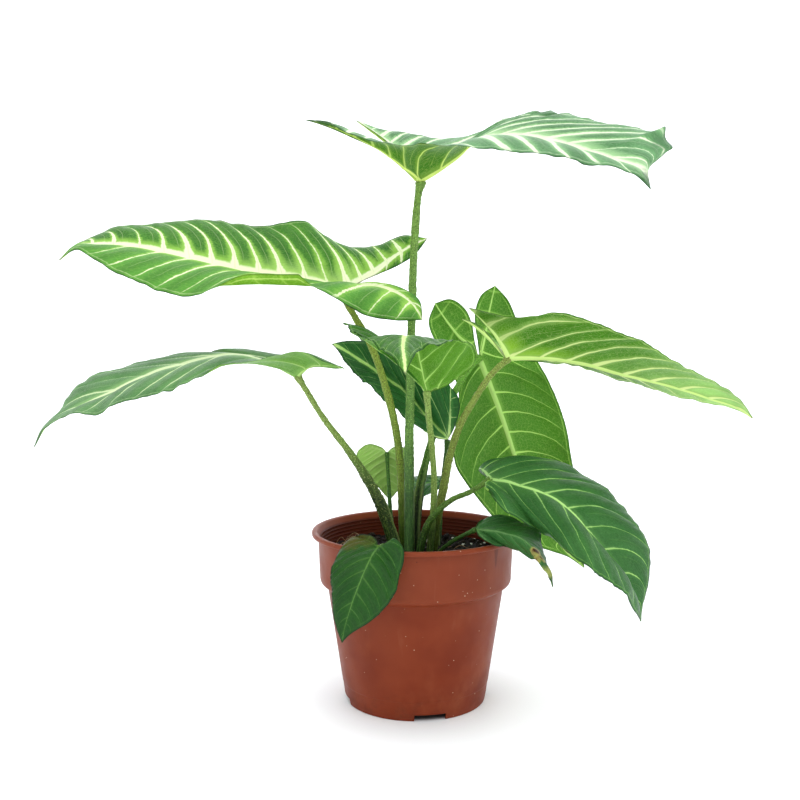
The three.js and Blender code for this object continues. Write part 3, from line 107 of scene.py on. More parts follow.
    outerB=[[127.5,70,71],[115.5,68.7,79.4],[101.9,66.3,84.7],[88.2,63.6,89.7],[75.4,60.9,96.7],[63.9,58.2,105.7],[54.1,55.4,116.4],[45.2,52.4,127.8],[36.7,49.3,139.4],[29.4,46,151.8],[27.3,42.4,165.7],[28.6,38.6,179.6],[30.3,34.6,193.2],[30.2,36.9,209.4],[23.1,39.7,224.3],[15.5,42.5,238.7],[9.8,45.6,254.3],[14.4,49,268.2]],
    innerA=[[45.1,37,229.7],[44.3,40.7,240.9],[42.7,44.5,252.2],[43.1,48.3,263.6],[47.9,51.8,274.5],[57.6,55,280.8]],
    innerB=[[45.1,37,229.7],[42.2,39,241.3],[40.4,41.4,253.2],[35.5,43.8,264.2],[25.6,46.4,271],[14.4,49,268.2]],),
  'leaf_right_front': dict(upper=-1, camberA=4, camberB=4, nv=9,
    midrib=[[131,-98,81.2],[128.2,-93.2,91.6],[123.6,-89,101.6],[118,-84.4,111],[111.9,-78.6,119.3],[105.5,-72.4,127.1],[98.9,-66.3,134.8],[92.1,-59.1,141.3],[84.6,-51.4,146.1],[75.7,-44.1,149.2],[66.6,-36.8,150.9],[57.7,-29.2,152.8],[48.3,-22,153]],
    ribA=[[48.3,-22,153],[47.2,-16.4,154.5],[46.1,-10.8,155.9],[44.8,-5.2,156.7],[43.3,0.5,156.8],[42.6,6,154.9]],
    ribB=[[48.3,-22,153],[46.6,-26.6,153.1],[44.9,-31.3,153.1],[44,-36.1,152.7],[43.9,-40.9,151.3],[45.6,-45,149.4]],
    outerA=[[131,-98,81.2],[134,-88.9,88.2],[137.8,-82.2,95.7],[141.3,-75.8,103.7],[143.1,-68.5,111.9],[142.7,-61.2,119.8],[139.2,-54.3,127.3],[135.2,-46.7,134.3],[130,-38.9,140.5],[124.7,-31.8,147],[117.1,-24.9,151.5],[109.5,-18.1,156.1],[101.8,-11.9,161.2],[89.8,-7.6,164.4],[77.3,-3.6,166.3],[64.7,0.3,164.1],[51.7,3.8,162.1],[42.6,6,154.9]],
    outerB=[[131,-98,81.2],[124.2,-112.6,91.3],[119.4,-119.3,98.9],[114.6,-123.2,105.1],[109.6,-123.9,109.5],[104.6,-122.6,112.8],[100.1,-119.9,116],[95.9,-114.6,118.5],[91.5,-107.4,120.1],[87.7,-99.3,122.1],[84.4,-89.8,124.6],[81.1,-78.9,126.7],[76.5,-67.1,127],[69,-66,130.7],[61.9,-63.7,134.6],[54.9,-60.4,138.7],[49.5,-55.4,144.1],[45.6,-45,149.4]],
    innerA=[[48.3,-22,153],[47.1,-16.4,153.2],[45.9,-10.8,153.5],[44.7,-5.2,153.8],[43.6,0.5,154.3],[42.6,6,154.9]],
    innerB=[[48.3,-22,153],[46.8,-26.6,152.4],[45.7,-31.3,151.7],[44.9,-36.1,150.9],[44.9,-40.9,150.2],[45.6,-45,149.4]],),
  'leaf_rim_right': dict(upper=-1, camberA=2, camberB=2, nv=6,
    midrib=[[78.8,-100,102.4],[77,-97,108.1],[74.7,-93.3,113.3],[72,-89,117.7],[69.1,-84,121.2],[65.9,-78.7,123.9],[62.4,-73.2,125.6],[58.7,-67.6,126],[54.8,-62,125.8],[51,-56.4,125.7],[46.8,-51.2,125.4],[42.3,-46.2,124.6],[38,-41,124.2]],
    ribA=[[38,-41,124.2],[39,-38.6,125.3],[40.3,-36.3,126.2],[41.7,-34,127],[43.3,-31.9,127.9],[45.2,-30,128.8]],
    ribB=[[38,-41,124.2],[39.1,-43.8,123],[40.4,-46.5,121.8],[41.8,-49.1,120.8],[43.5,-51.6,119.6],[45.2,-54,118.4]],
    outerA=[[78.8,-100,102.4],[79,-97,105.4],[79,-93.3,108.1],[78.3,-89,110.6],[77.4,-84,112.9],[76.8,-78.7,115.3],[76.4,-73.2,117.7],[76.4,-67.6,120.3],[76.9,-62,123.2],[76.9,-56.4,125.4],[74.3,-51.2,127],[71.4,-46.2,128.1],[68.4,-41,128.8],[64,-38.6,130.3],[59.5,-36.3,131.3],[54.7,-34,131.5],[49.9,-31.9,130.7],[45.2,-30,128.8]],
    outerB=[[78.8,-100,102.4],[77.6,-101.9,105.4],[76.7,-101,107.7],[75.8,-98.8,109.6],[75,-95.5,111.3],[74.2,-91.4,112.5],[72.9,-86.8,113.3],[71.4,-81.7,113.8],[69.8,-76.2,114],[68.1,-70.4,114.1],[66.3,-64.7,114.2],[64.5,-58.9,114.1],[62.5,-52.5,113.5],[58.9,-53.8,114.6],[55.3,-54.7,115.4],[51.7,-55.3,116.2],[48.3,-55.3,117.2],[45.2,-54,118.4]],
    innerA=[[38,-41,124.2],[38.5,-38.6,125.8],[39.5,-36.3,127.2],[41,-34,128.2],[42.9,-31.9,128.7],[45.2,-30,128.8]],
    innerB=[[38,-41,124.2],[38.3,-43.8,122.2],[39.4,-46.5,120.7],[41.2,-49.1,119.6],[43,-51.6,118.8],[45.2,-54,118.4]],),
  'leaf_rim_front_left': dict(upper=1, camberA=3, camberB=3, nv=7,
    midrib=[[-45.1,-90,65.6],[-44.2,-90,71.3],[-43,-90,76.8],[-41.4,-90,82.3],[-39.7,-90,87.7],[-37.9,-89.9,93.1],[-35.9,-89.2,98.4],[-33.8,-87.9,103.5],[-31.7,-85.7,108.3],[-29.5,-82.4,112.4],[-27.5,-78.3,115.7],[-25.5,-73.4,117.8],[-24,-68,118.7]],
    ribA=[[-24,-68,118.7],[-26.6,-65.5,120.2],[-29.4,-63.1,121.3],[-32.4,-60.7,122.1],[-35.6,-58.7,122.4],[-39.1,-57,122.5]],
    ribB=[[-24,-68,118.7],[-22,-68,119.7],[-20,-68,120.7],[-18.1,-67.7,121.8],[-16.3,-67.1,123],[-14.8,-66,124.1]],
    outerA=[[-45.1,-90,65.6],[-46.7,-89.4,69.3],[-48.1,-88.7,73.1],[-49.2,-88.2,76.9],[-50.1,-87.5,80.8],[-50.9,-86.7,84.8],[-51.2,-85.7,88.6],[-51.2,-84.3,92.5],[-51.4,-82.6,96.1],[-52.3,-80.4,99.4],[-52.8,-78.2,102.8],[-52.6,-75.8,106],[-51,-73.3,108.9],[-49.6,-69.9,112.4],[-48.2,-66.4,115.6],[-45.8,-63.2,118.7],[-42.9,-60.1,121.2],[-39.1,-57,122.5]],
    outerB=[[-45.1,-90,65.6],[-42.1,-90,69.1],[-38.6,-90,72],[-34.7,-90,74.4],[-30.8,-90,76.9],[-27,-89.3,79.4],[-23.4,-88.3,82.1],[-20.2,-87.4,85.2],[-17.3,-86.5,88.7],[-14.8,-85.6,92.4],[-12.5,-84.5,96.3],[-11.4,-83.1,100.4],[-10.7,-81.4,104.6],[-8.8,-79.3,109.6],[-7.9,-76.8,114.5],[-8.3,-73.6,119.2],[-11,-70,122.5],[-14.8,-66,124.1]],
    innerA=[[-24,-68,118.7],[-24.8,-65.5,122.3],[-27.4,-63.1,124.4],[-31.3,-60.7,124.9],[-35.3,-58.7,124.4],[-39.1,-57,122.5]],
    innerB=[[-24,-68,118.7],[-22.1,-68,119.9],[-20.3,-68,121],[-18.4,-67.7,122.1],[-16.6,-67.1,123.2],[-14.8,-66,124.1]],),
  'leaf_small_back_left': dict(upper=-1, camberA=2, camberB=2, nv=6,
    midrib=[[-17.9,42,127.7],[-18.2,42,130.6],[-18.4,42,133.6],[-18.5,41.9,136.6],[-18.7,41.5,139.6],[-18.8,41.2,142.6],[-18.9,40.7,145.6],[-19.1,40.2,148.5],[-19.3,39.6,151.4],[-19.4,38.9,154.4],[-19.5,38.1,157.2],[-19.6,37.1,160.1],[-19.7,36,162.9]],
    ribA=[[-19.7,36,162.9],[-23.3,36.7,164.4],[-27.1,37.5,165.4],[-31,38.1,165.7],[-35,38.6,165.7],[-38.9,39,165.2]],
    ribB=[[-19.7,36,162.9],[-17.4,36.8,164.3],[-14.7,37.6,164.8],[-11.9,38.1,165.1],[-9.1,38.6,165.2],[-6.2,39,165.2]],
    outerA=[[-17.9,42,127.7],[-19.6,40.3,129.8],[-21.4,39.3,131.9],[-23,38.4,133.9],[-24.7,37.5,136.1],[-26.3,36.7,138.1],[-28,36,140.1],[-29.8,35.3,142],[-31.6,34.6,143.9],[-33.3,34,145.8],[-35.1,33.4,147.8],[-36.7,32.7,149.8],[-38.2,32,151.9],[-39.9,33.2,154.4],[-40.9,34.6,157.2],[-41.3,35.9,160.1],[-40.8,37.3,163],[-38.9,39,165.2]],
    outerB=[[-17.9,42,127.7],[-16.2,40.3,129.8],[-14.5,39.3,131.8],[-12.9,38.4,133.9],[-11.3,37.5,135.9],[-9.7,36.7,137.9],[-8.1,36,139.9],[-6.5,35.3,141.9],[-4.9,34.6,143.9],[-3.6,34,146],[-2.3,33.4,148.3],[-1.1,32.7,150.6],[-0.6,32,153.1],[-0.7,33.3,155.9],[-0.9,34.7,158.7],[-2,36,161.4],[-3.8,37.3,163.6],[-6.2,39,165.2]],
    innerA=[[-19.7,36,162.9],[-22.7,36.7,166],[-26.7,37.5,167.7],[-31,38.1,168.7],[-35.3,38.6,167.8],[-38.9,39,165.2]],
    innerB=[[-19.7,36,162.9],[-17.6,36.8,165],[-15,37.6,166.6],[-12,38.1,166.9],[-9,38.6,166.7],[-6.2,39,165.2]],),
  'leaf_small_back': dict(upper=1, camberA=1.5, camberB=1.5, nv=5,
    midrib=[[-14.9,58,139.5],[-12,57.6,139],[-9.1,57,138.6],[-6.2,56.3,138.2],[-3.3,55.5,137.8],[-0.5,54.5,137.8],[2.3,53.4,137.8],[5,52.2,137.9],[7.8,51.1,138.2],[10.5,49.9,138.7],[13.2,48.7,139.3],[15.8,47.4,140],[18.3,46,140.7]],
    ribA=[[18.3,46,140.7],[19,47.5,140.9],[19.6,49.1,141.1],[20.1,50.7,141.3],[20.5,52.3,141.4],[20.8,54,141.6]],
    ribB=[[18.3,46,140.7],[18.4,44.4,140.3],[18.5,42.9,139.7],[18.5,41.5,138.9],[18.3,40.2,138],[18,39,136.9]],
    outerA=[[-14.9,58,139.5],[-12.9,63.5,139.2],[-11,66.4,139.2],[-9,68.3,139.3],[-7,69.5,139.5],[-4.9,70,139.7],[-2.9,69.9,140],[-0.9,69.3,140.4],[1.1,68.3,140.7],[3.1,66.9,141.2],[5.1,65.1,141.7],[7.1,62.7,142.2],[9.1,59.9,142.8],[11.5,59.6,142.9],[14,59.1,143],[16.5,58.2,143],[18.8,56.8,142.7],[20.8,54,141.6]],
    outerB=[[-14.9,58,139.5],[-13.8,54.3,138.1],[-12.6,51.9,136.6],[-11.3,49.7,135.1],[-9.9,47.8,133.8],[-8.2,46,132.6],[-6.4,44.3,131.7],[-4.5,42.8,130.8],[-2.4,41.6,130.2],[-0.3,40.6,130],[1.9,39.7,130],[4.1,39,130],[6.1,38.4,130.4],[8.7,37.8,131.7],[11.1,37.4,132.8],[13.5,37.4,134.1],[15.8,37.7,135.5],[18,39,136.9]],
    innerA=[[18.3,46,140.7],[19.1,47.5,140.6],[19.8,49.1,140.6],[20.2,50.7,140.7],[20.6,52.3,141.1],[20.8,54,141.6]],
    innerB=[[18.3,46,140.7],[18.9,44.4,140],[19.2,42.9,139.2],[19.1,41.5,138.5],[18.8,40.2,137.7],[18,39,136.9]],),
}
PETIOLES = {
  'petiole_top': [[-4.4,-4,101.3,3.3],[-4.4,-4,136.1,3.1],[-4.5,-3,169.8,3],[-3.8,-2,203.4,2.9],[-3.2,-1,236.8,2.8],[-2.4,1,270,2.7],[-0.8,3,309.7,2.6],[1.2,5,336.1,2.4],[3.1,6,347,2.6]],
  'petiole_upper_left': [[-7.8,6,99.6,3.3],[-9.5,5,148.2,2.9],[-13.2,3,182.6,2.7],[-20.5,1,213.2,2.5],[-29.8,-1,240.1,2.4],[-40,-2,258,2.2],[-48.6,-2,273.2,2.2]],
  'petiole_lower_left': [[-13.2,-3,101,4.4],[-17.9,-4,117.7,4.3],[-25.6,-6,138.5,3.9],[-41.7,-9,166,2.6],[-60.1,-11,190.9,2],[-71.1,-12,208.9,1.9],[-77.2,-12,219.1,2]],
  'petiole_center_front': [[9.7,-5,101.5,2.3],[11.7,-6,126.3,2.2],[12.2,-9,150.5,2.1],[10.6,-16,171.6,2],[8.3,-26,192.5,1.9],[6.7,-34,209.7,2]],
  'petiole_center_back': [[10.9,10,99.4,2.6],[14.3,11,118,2.5],[17.7,12,136.6,2.3],[20.5,14,155.1,2],[22.2,17,172,1.7]],
  'petiole_right_long': [[12,2,99.9,3.1],[14.6,2,121.3,3],[18.6,1,142,2.9],[23.1,-1,166.2,2.6],[29.6,-3,186.7,2.4],[38.8,-5,203.7,2.2],[49.1,-7,219.8,2],[60.2,-8,230.8,2]],
  'petiole_right_hanging': [[-0.9,8,99.2,3.6],[1.9,13,133,3.4],[6.8,19,156.4,2.6],[13.9,25.5,179.3,2.3],[24.4,28.5,200.7,2.2],[36.3,31,220.2,2.1],[44.2,34.5,229.1,2.1]],
  'petiole_right_front': [[2.9,-11,102.9,2.7],[5.5,-12,114,2.6],[9.4,-14,123.8,2.3],[16,-16,132.3,2],[24.4,-18,139.4,1.8],[35.4,-20,144.4,1.7],[47,-22,152.1,1.6]],
  'petiole_rim_right': [[16.1,-14,102.9,1.5],[22.3,-24,111.3,1.4],[29.6,-33,117.9,1.3],[37.1,-40.5,123.4,1.3]],
  'petiole_rim_front_left': [[-11.8,-16,102.1,1.5],[-16.3,-32,109.8,1.4],[-20.6,-50,115.6,1.3],[-23.4,-65,117.7,1.3]],
  'petiole_small_back_left': [[-14,15,97.5,1.6],[-17.1,21,123,1.4],[-18.2,27,138.9,1.3],[-19.2,33,152.9,1.2],[-19.7,35.5,161.8,1.2]],
  'petiole_small_back': [[16.7,20,97.1,1.4],[18.1,30,115.6,1.3],[19.1,39,128.2,1.2],[18.6,45,139.5,1.2]],
}
RIM_RADIUS = 70.0
LIP_INNER_RADIUS = 66.6
POT_HEIGHT = 115.8
LIP_HEIGHT = 3.4
BAND_TOP_RADIUS = 65.8
BAND_BOTTOM_RADIUS = 64.6
BAND_BOTTOM_Z = 82.0
BODY_TOP_RADIUS = 59.6
BODY_TOP_Z = 78.6
BASE_RADIUS = 47.4
WALL = 1.4
FLOOR_UNDERSIDE_Z = 3.4
FLOOR_TOP_Z = 5.4
FOOT_RING_INNER_RADIUS = 44.6
NOTCH_WIDTH = 21.0
NOTCH_HEIGHT = 4.4
NOTCH_AZIMUTHS = (-79, 11, 101, 191)
DRAIN_HOLE_RADIUS = 4.5
DRAIN_HOLE_RING = 35.0
SOIL_Z = 100.0

# camera of the view, mm from the pot's axis
CAM = (-10.49, -700.0, 264.1)
CAM_PITCH = 4.97
FOCAL_PX = 1048.17

# ---------------------------------------------------------------- colour and node helpers

def lin(c):
    out = []
    for v in c[:3]:
        v = v / 255.0
        out.append(v / 12.92 if v <= 0.04045 else ((v + 0.055) / 1.055) ** 2.4)
    return (out[0], out[1], out[2], 1.0)


def tone(c, gain=1.12, veil=0.010):
    """Base colour of a surface that is to look like c under the studio light."""
    return tuple([max(0.0012, (v - veil) / gain) for v in lin(c)[:3]] + [1.0])


class Nodes:
    """Small helper to write node trees as expressions."""

    def __init__(self, name):
        self.mat = bpy.data.materials.new(name)
        self.mat.use_nodes = True
        self.nt = self.mat.node_tree
        self.nt.nodes.clear()
        self.out = self.nt.nodes.new("ShaderNodeOutputMaterial")
        self.bsdf = self.nt.nodes.new("ShaderNodeBsdfPrincipled")
        self.nt.links.new(self.bsdf.outputs[0], self.out.inputs[0])

    def put(self, socket, value):
        if isinstance(value, bpy.types.NodeSocket):
            self.nt.links.new(value, socket)
        else:
            socket.default_value = value

    def math(self, op, a, b=0.0, c=None, clamp=False):
        n = self.nt.nodes.new("ShaderNodeMath")
        n.operation = op
        n.use_clamp = clamp
        self.put(n.inputs[0], a)
        self.put(n.inputs[1], b)
        if c is not None:
            self.put(n.inputs[2], c)
        return n.outputs[0]

    def attr(self, name):
        n = self.nt.nodes.new("ShaderNodeAttribute")
        n.attribute_type = "GEOMETRY"
        n.attribute_name = name
        return n.outputs["Fac"]

    def coords(self, kind="Object"):
        n = self.nt.nodes.new("ShaderNodeTexCoord")
        return n.outputs[kind]

    def mapping(self, vec, scale=(1, 1, 1), loc=(0, 0, 0), rot=(0, 0, 0)):
        n = self.nt.nodes.new("ShaderNodeMapping")
        self.put(n.inputs["Vector"], vec)
        n.inputs["Scale"].default_value = scale
        n.inputs["Location"].default_value = loc
        n.inputs["Rotation"].default_value = rot
        return n.outputs[0]

    def noise(self, vec, scale, detail=3.0, rough=0.5, distortion=0.0, color=False):
        n = self.nt.nodes.new("ShaderNodeTexNoise")
        self.put(n.inputs["Vector"], vec)
        n.inputs["Scale"].default_value = scale
        n.inputs["Detail"].default_value = detail
        n.inputs["Roughness"].default_value = rough
        n.inputs["Distortion"].default_value = distortion
        return n.outputs["Color" if color else "Fac"]

    def white(self, w):
        n = self.nt.nodes.new("ShaderNodeTexWhiteNoise")
        n.noise_dimensions = "1D"
        self.put(n.inputs["W"], w)
        return n.outputs["Value"]

    def voronoi(self, vec, scale, feature="F1", rand=1.0):
        n = self.nt.nodes.new("ShaderNodeTexVoronoi")
        n.feature = feature
        self.put(n.inputs["Vector"], vec)
        n.inputs["Scale"].default_value = scale
        n.inputs["Randomness"].default_value = rand
        return n.outputs["Distance"]

    def combine(self, x, y, z=0.0):
        n = self.nt.nodes.new("ShaderNodeCombineXYZ")
        self.put(n.inputs[0], x)
        self.put(n.inputs[1], y)
        self.put(n.inputs[2], z)
        return n.outputs[0]

    def ramp(self, value, lo_, hi_, a=0.0, b=1.0, smooth=True):
        n = self.nt.nodes.new("ShaderNodeMapRange")
        n.interpolation_type = "SMOOTHSTEP" if smooth else "LINEAR"
        n.clamp = True
        self.put(n.inputs["Value"], value)
        self.put(n.inputs["From Min"], lo_)
        self.put(n.inputs["From Max"], hi_)
        self.put(n.inputs["To Min"], a)
        self.put(n.inputs["To Max"], b)
        return n.outputs[0]

    def mix(self, fac, a, b, mode="MIX"):
        n = self.nt.nodes.new("ShaderNodeMix")
        n.data_type = "RGBA"
        n.blend_type = mode
        n.clamp_factor = True
        self.put(n.inputs["Factor"], fac)
        self.put(n.inputs[6], a)
        self.put(n.inputs[7], b)
        return n.outputs[2]

    def bump(self, height, strength=0.3, distance=0.0004, normal=None):
        n = self.nt.nodes.new("ShaderNodeBump")
        n.inputs["Strength"].default_value = strength
        n.inputs["Distance"].default_value = distance
        self.put(n.inputs["Height"], height)
        if normal is not None:
            self.put(n.inputs["Normal"], normal)
        return n.outputs[0]

    def done(self, color, rough, normal=None, spec=0.5, **sockets):
        self.put(self.bsdf.inputs["Base Color"], color)
        self.put(self.bsdf.inputs["Roughness"], rough)
        self.bsdf.inputs["Specular IOR Level"].default_value = spec
        if normal is not None:
            self.put(self.bsdf.inputs["Normal"], normal)
        for k, v in sockets.items():
            self.bsdf.inputs[k.replace("_", " ")].default_value = v
        return self.mat


# ---------------------------------------------------------------- leaf material

def leaf_material(name, c):
    """c: colours as seen (sRGB 0-255): lam, lam2 upper lamina, halo and core of the pale bands, ulam, uvein lower
    lamina and veins; band, mid half widths in mm; the rest are strengths."""
    s = Nodes(name)
    obj = s.coords("Object")
    ph, tt, sp, hw, up, bb, ed, mw, sd = (s.attr(a) for a in ("ph", "tt", "sp", "hw", "up", "bb", "ed", "mw", "sd"))
    M_, A_ = (lambda a, b: s.math("MULTIPLY", a, b)), (lambda a, b: s.math("ADD", a, b))
    wob = M_(s.math("SUBTRACT", s.noise(obj, 42, 2), 0.5), c.get("wob", 0.34))
    phw = A_(ph, wob)
    near = s.math("ROUND", phw)
    dl = M_(s.math("ABSOLUTE", s.math("SUBTRACT", phw, near)), sp)
    key = A_(near, M_(sd, 31.0))
    rnd = s.white(key)
    rnd2 = s.white(A_(key, 0.37))
    half = A_(s.math("FLOOR", phw), 0.5)
    d2 = M_(s.math("ABSOLUTE", s.math("SUBTRACT", phw, A_(half, M_(s.math("SUBTRACT", s.white(A_(half, M_(sd, 17.0))), 0.5), 0.3)))), sp)
    dm = M_(tt, hw)
    comb = s.noise(s.combine(M_(dm, 1.1), M_(ph, 1.7), M_(bb, 4.0)), 1.0, 3, 0.7)
    fray = s.math("SUBTRACT", A_(M_(s.noise(obj, 520, 3, 0.65), 0.5), M_(comb, 0.5)), 0.5)
    # pale bands along the side veins: flared at the midrib, narrow and broken towards the margin
    along = M_(s.ramp(bb, 0.08, 0.6), s.ramp(bb, 1.0, 1.25, 1.0, 0.3))
    flare = A_(1.0, M_(M_(s.ramp(dm, 0.5, 12.0, c.get("flare", 1.0), 0.0), along), 1.0))
    taper = s.ramp(tt, 0.0, 1.0, 1.0, c.get("end", 0.28), smooth=False)
    vary = c.get("vary", (0.62, 1.3))
    wrand = s.ramp(rnd, 0.0, 1.0, vary[0], vary[1], smooth=False)
    sides_ = s.ramp(sd, 0.0, 1.0, c.get("bandA", 1.0), c.get("bandB", 1.0), smooth=False)
    W = M_(M_(M_(M_(taper, flare), wrand), sides_), M_(M_(s.ramp(bb, 0.0, 0.5, 0.6, 1.0), s.ramp(bb, 1.0, 1.12, 1.0, 0.6)), c["band"]))
    dlf = A_(dl, M_(fray, c.get("fray", 1.5)))
    core_l = s.ramp(dlf, M_(W, 0.62), M_(W, 1.12), 1.0, 0.0)
    halo_l = s.ramp(A_(dl, M_(fray, c.get("fray", 1.5) * 2.6)), M_(W, 0.8), A_(M_(W, c.get("hw2", 1.9)), M_(s.ramp(tt, 0, 0.7, 1.6, 0.3), A_(1.0, s.ramp(bb, 0.4, 0.95, 0.0, c.get("hb", 0.0))))), 1.0, 0.0)
    r1 = s.ramp(rnd2, 0.0, 1.0, c.get("reach", 0.8) - 0.12, c.get("reach", 0.8) + 0.1, smooth=False)
    reach = s.ramp(tt, r1, A_(r1, 0.14), 1.0, c.get("reach_end", 0.15))
    lat = c.get("lat", 1.0)
    core_l = M_(M_(core_l, reach), lat)
    halo_l = M_(M_(halo_l, M_(reach, s.ramp(tt, 0.25, 0.95, 1.0, 0.45))), lat)
    # midrib and lobe ribs
    M = M_(mw, c["mid"])
    dmf = A_(dm, M_(fray, c.get("fray", 1.5) * 1.2))
    core_m = s.ramp(dmf, M_(M, 0.6), M_(M, 1.1), 1.0, 0.0)
    halo_m = s.ramp(A_(dm, M_(fray, 4.5)), M_(M, 0.8), A_(M_(M, 2.1), 1.6), 1.0, 0.0)
    midk = c.get("midk", 1.0)
    core_m, halo_m = M_(core_m, midk), M_(halo_m, midk)
    # glow where all the ribs meet
    glow = M_(M_(M_(s.ramp(bb, 0.55, 1.0), s.ramp(bb, 1.0, 1.0 + c.get("glow_lobe", 0.14), 1.0, 0.0)), s.ramp(A_(dm, M_(fray, 9.0)), 2.0, c.get("glow_mm", 20.0), 1.0, 0.0)), c.get("glow", 0.45))
    core = s.math("MAXIMUM", core_l, core_m)
    halo = s.math("MAXIMUM", s.math("MAXIMUM", halo_l, halo_m), glow)
    # thin true veins, weaker ones between them, collecting vein and fine net
    vein = M_(s.ramp(dl, 0.14, 0.42, 1.0, 0.0), s.ramp(tt, 0.9, 0.97, 1.0, 0.0))
    wk = M_(M_(s.ramp(d2, 0.12, 0.36, 1.0, 0.0), s.ramp(tt, 0.12, 0.3)), s.ramp(tt, 0.7, 0.92, 1.0, 0.0))
    rimw = A_(2.1, M_(s.math("SUBTRACT", comb, 0.5), 1.6))
    rim = M_(s.ramp(s.math("ABSOLUTE", s.math("SUBTRACT", ed, rimw)), 0.12, 0.42, 1.0, 0.0), s.ramp(hw, 6.0, 12.0))
    cells = s.voronoi(s.combine(M_(ph, 2.4), M_(dm, 0.2), M_(sd, 5.0)), 3.0, "DISTANCE_TO_EDGE")
    net = s.ramp(cells, 0.0, 0.075, 1.0, 0.0)
    # upper face colour
    big = s.noise(obj, 38, 3, 0.55)
    fine = s.noise(obj, 900, 2, 0.6)
    lam2 = c.get("lam2", [v * 0.80 for v in c["lam"]])
    lam = s.mix(s.ramp(big, 0.3, 0.7), tone(c["lam"]), tone(lam2))
    if "lamB" in c:
        lam = s.mix(M_(sd, 0.8), lam, tone(c["lamB"]))
    between = s.ramp(dl, M_(sp, 0.14), M_(sp, 0.42))
    lam = s.mix(M_(M_(between, s.ramp(tt, 0.1, 0.5)), 0.35), lam, tone([v * 0.72 for v in lam2]))
    lam = s.mix(M_(net, c.get("net", 0.2)), lam, tone(c["halo"]))
    lam = s.mix(s.ramp(fine, 0.25, 0.8, 0.0, 0.25), lam, tone([min(255, v * 1.28 + 6) for v in c["lam"]]))
    upper = s.mix(M_(halo, c.get("halok", 0.8)), lam, tone(c["halo"]))
    upper = s.mix(M_(glow, 0.7), upper, tone([(a + b) / 2 for a, b in zip(c["halo"], c["core"])]))
    upper = s.mix(core, upper, tone(c["core"]))
    thin = s.math("MAXIMUM", M_(vein, s.math("MINIMUM", 1.0, lat + 0.15)), s.math("MAXIMUM", M_(rim, 0.6), M_(wk, c.get("wku", 0.4))))
    upper = s.mix(M_(thin, c.get("vein", 0.55)), upper, tone(c.get("veinc", [(a + 2 * b) / 3 for a, b in zip(c["halo"], c["core"])])))
    # lower face colour
    ul = s.mix(s.ramp(bb, 0.15, 0.75), tone(c.get("utip", c["ulam"])), tone(c["ulam"]))
    ulam = s.mix(s.ramp(big, 0.3, 0.7, 0.0, 0.5), ul, tone([v * 0.84 for v in c["ulam"]]))
    ulam = s.mix(M_(net, 0.22), ulam, tone(c["uvein"]))
    ulam = s.mix(s.ramp(fine, 0.25, 0.8, 0.0, 0.2), ulam, tone([min(255, v * 1.15 + 8) for v in c["ulam"]]))
    if "uglow" in c:
        g2 = M_(M_(s.ramp(bb, 0.62, 0.98), s.ramp(bb, 1.0, 1.2, 1.0, 0.0)), s.ramp(A_(dm, M_(fray, 8.0)), 1.0, 20.0, 0.9, 0.0))
        ulam = s.mix(g2, ulam, tone(c["uglow"]))
    uw = c.get("uw", 0.6)
    fl = s.ramp(dm, 1.0, 14.0, 1.7, 1.0)
    tw = M_(M_(taper, fl), s.ramp(rnd, 0.0, 1.0, 0.75, 1.25, smooth=False))
    uv1 = s.ramp(A_(dl, M_(fray, 0.25)), M_(tw, 0.55 * uw), M_(tw, 1.15 * uw), 1.0, 0.0)
    uv1 = M_(M_(uv1, s.ramp(tt, 0.84, 0.97, 1.0, 0.1)), s.ramp(bb, 1.0, 1.12, 1.0, c.get("ulobe", 0.6)))
    uh = M_(s.ramp(A_(dl, M_(fray, 2.0)), M_(tw, 0.6 * uw), A_(M_(tw, 1.6 * uw), c.get("uhalo", 2.2)), 1.0, 0.0), c.get("uhk", 0.5))
    um = s.ramp(dm, M_(mw, 0.95 * c.get("um", 1.8)), M_(mw, 1.25 * c.get("um", 1.8)), 1.0, 0.0)
    umh = s.ramp(A_(dm, M_(fray, 3.0)), M_(mw, c.get("um", 1.8)), M_(mw, c.get("um", 1.8) + 5.0), 0.55, 0.0)
    lower = s.mix(s.math("MAXIMUM", uh, umh), ulam, tone([(a + b) / 2 for a, b in zip(c["ulam"], c["uvein"])]))
    lower = s.mix(s.math("MAXIMUM", M_(uv1, c.get("uk", 0.95)), s.math("MAXIMUM", M_(rim, 0.55), M_(wk, c.get("wk", 0.3)))), lower, tone(c["uvein"]))
    lower = s.mix(um, lower, tone(c.get("umid", c["uvein"])))
    # brown, yellow and reddish tinges and torn patches where a leaf has them; the dark green patches of the top leaf
    # are painted shade on its tips and its curled far margin
    for (sx, sy, sz), radius, colour, k in c.get("tint_and_shade_spots", ()):
        n = s.nt.nodes.new("ShaderNodeVectorMath")
        n.operation = "DISTANCE"
        s.put(n.inputs[0], obj)
        n.inputs[1].default_value = (AXIS[0] + sx * MM, AXIS[1] + sy * MM, sz * MM)
        d = A_(n.outputs["Value"], M_(s.math("SUBTRACT", s.noise(obj, 230, 4, 0.6), 0.5), radius * MM * 1.1))
        m = s.ramp(d, radius * MM * 0.35, radius * MM, k, 0.0)
        upper = s.mix(m, upper, tone(colour))
        lower = s.mix(m, lower, tone(colour))
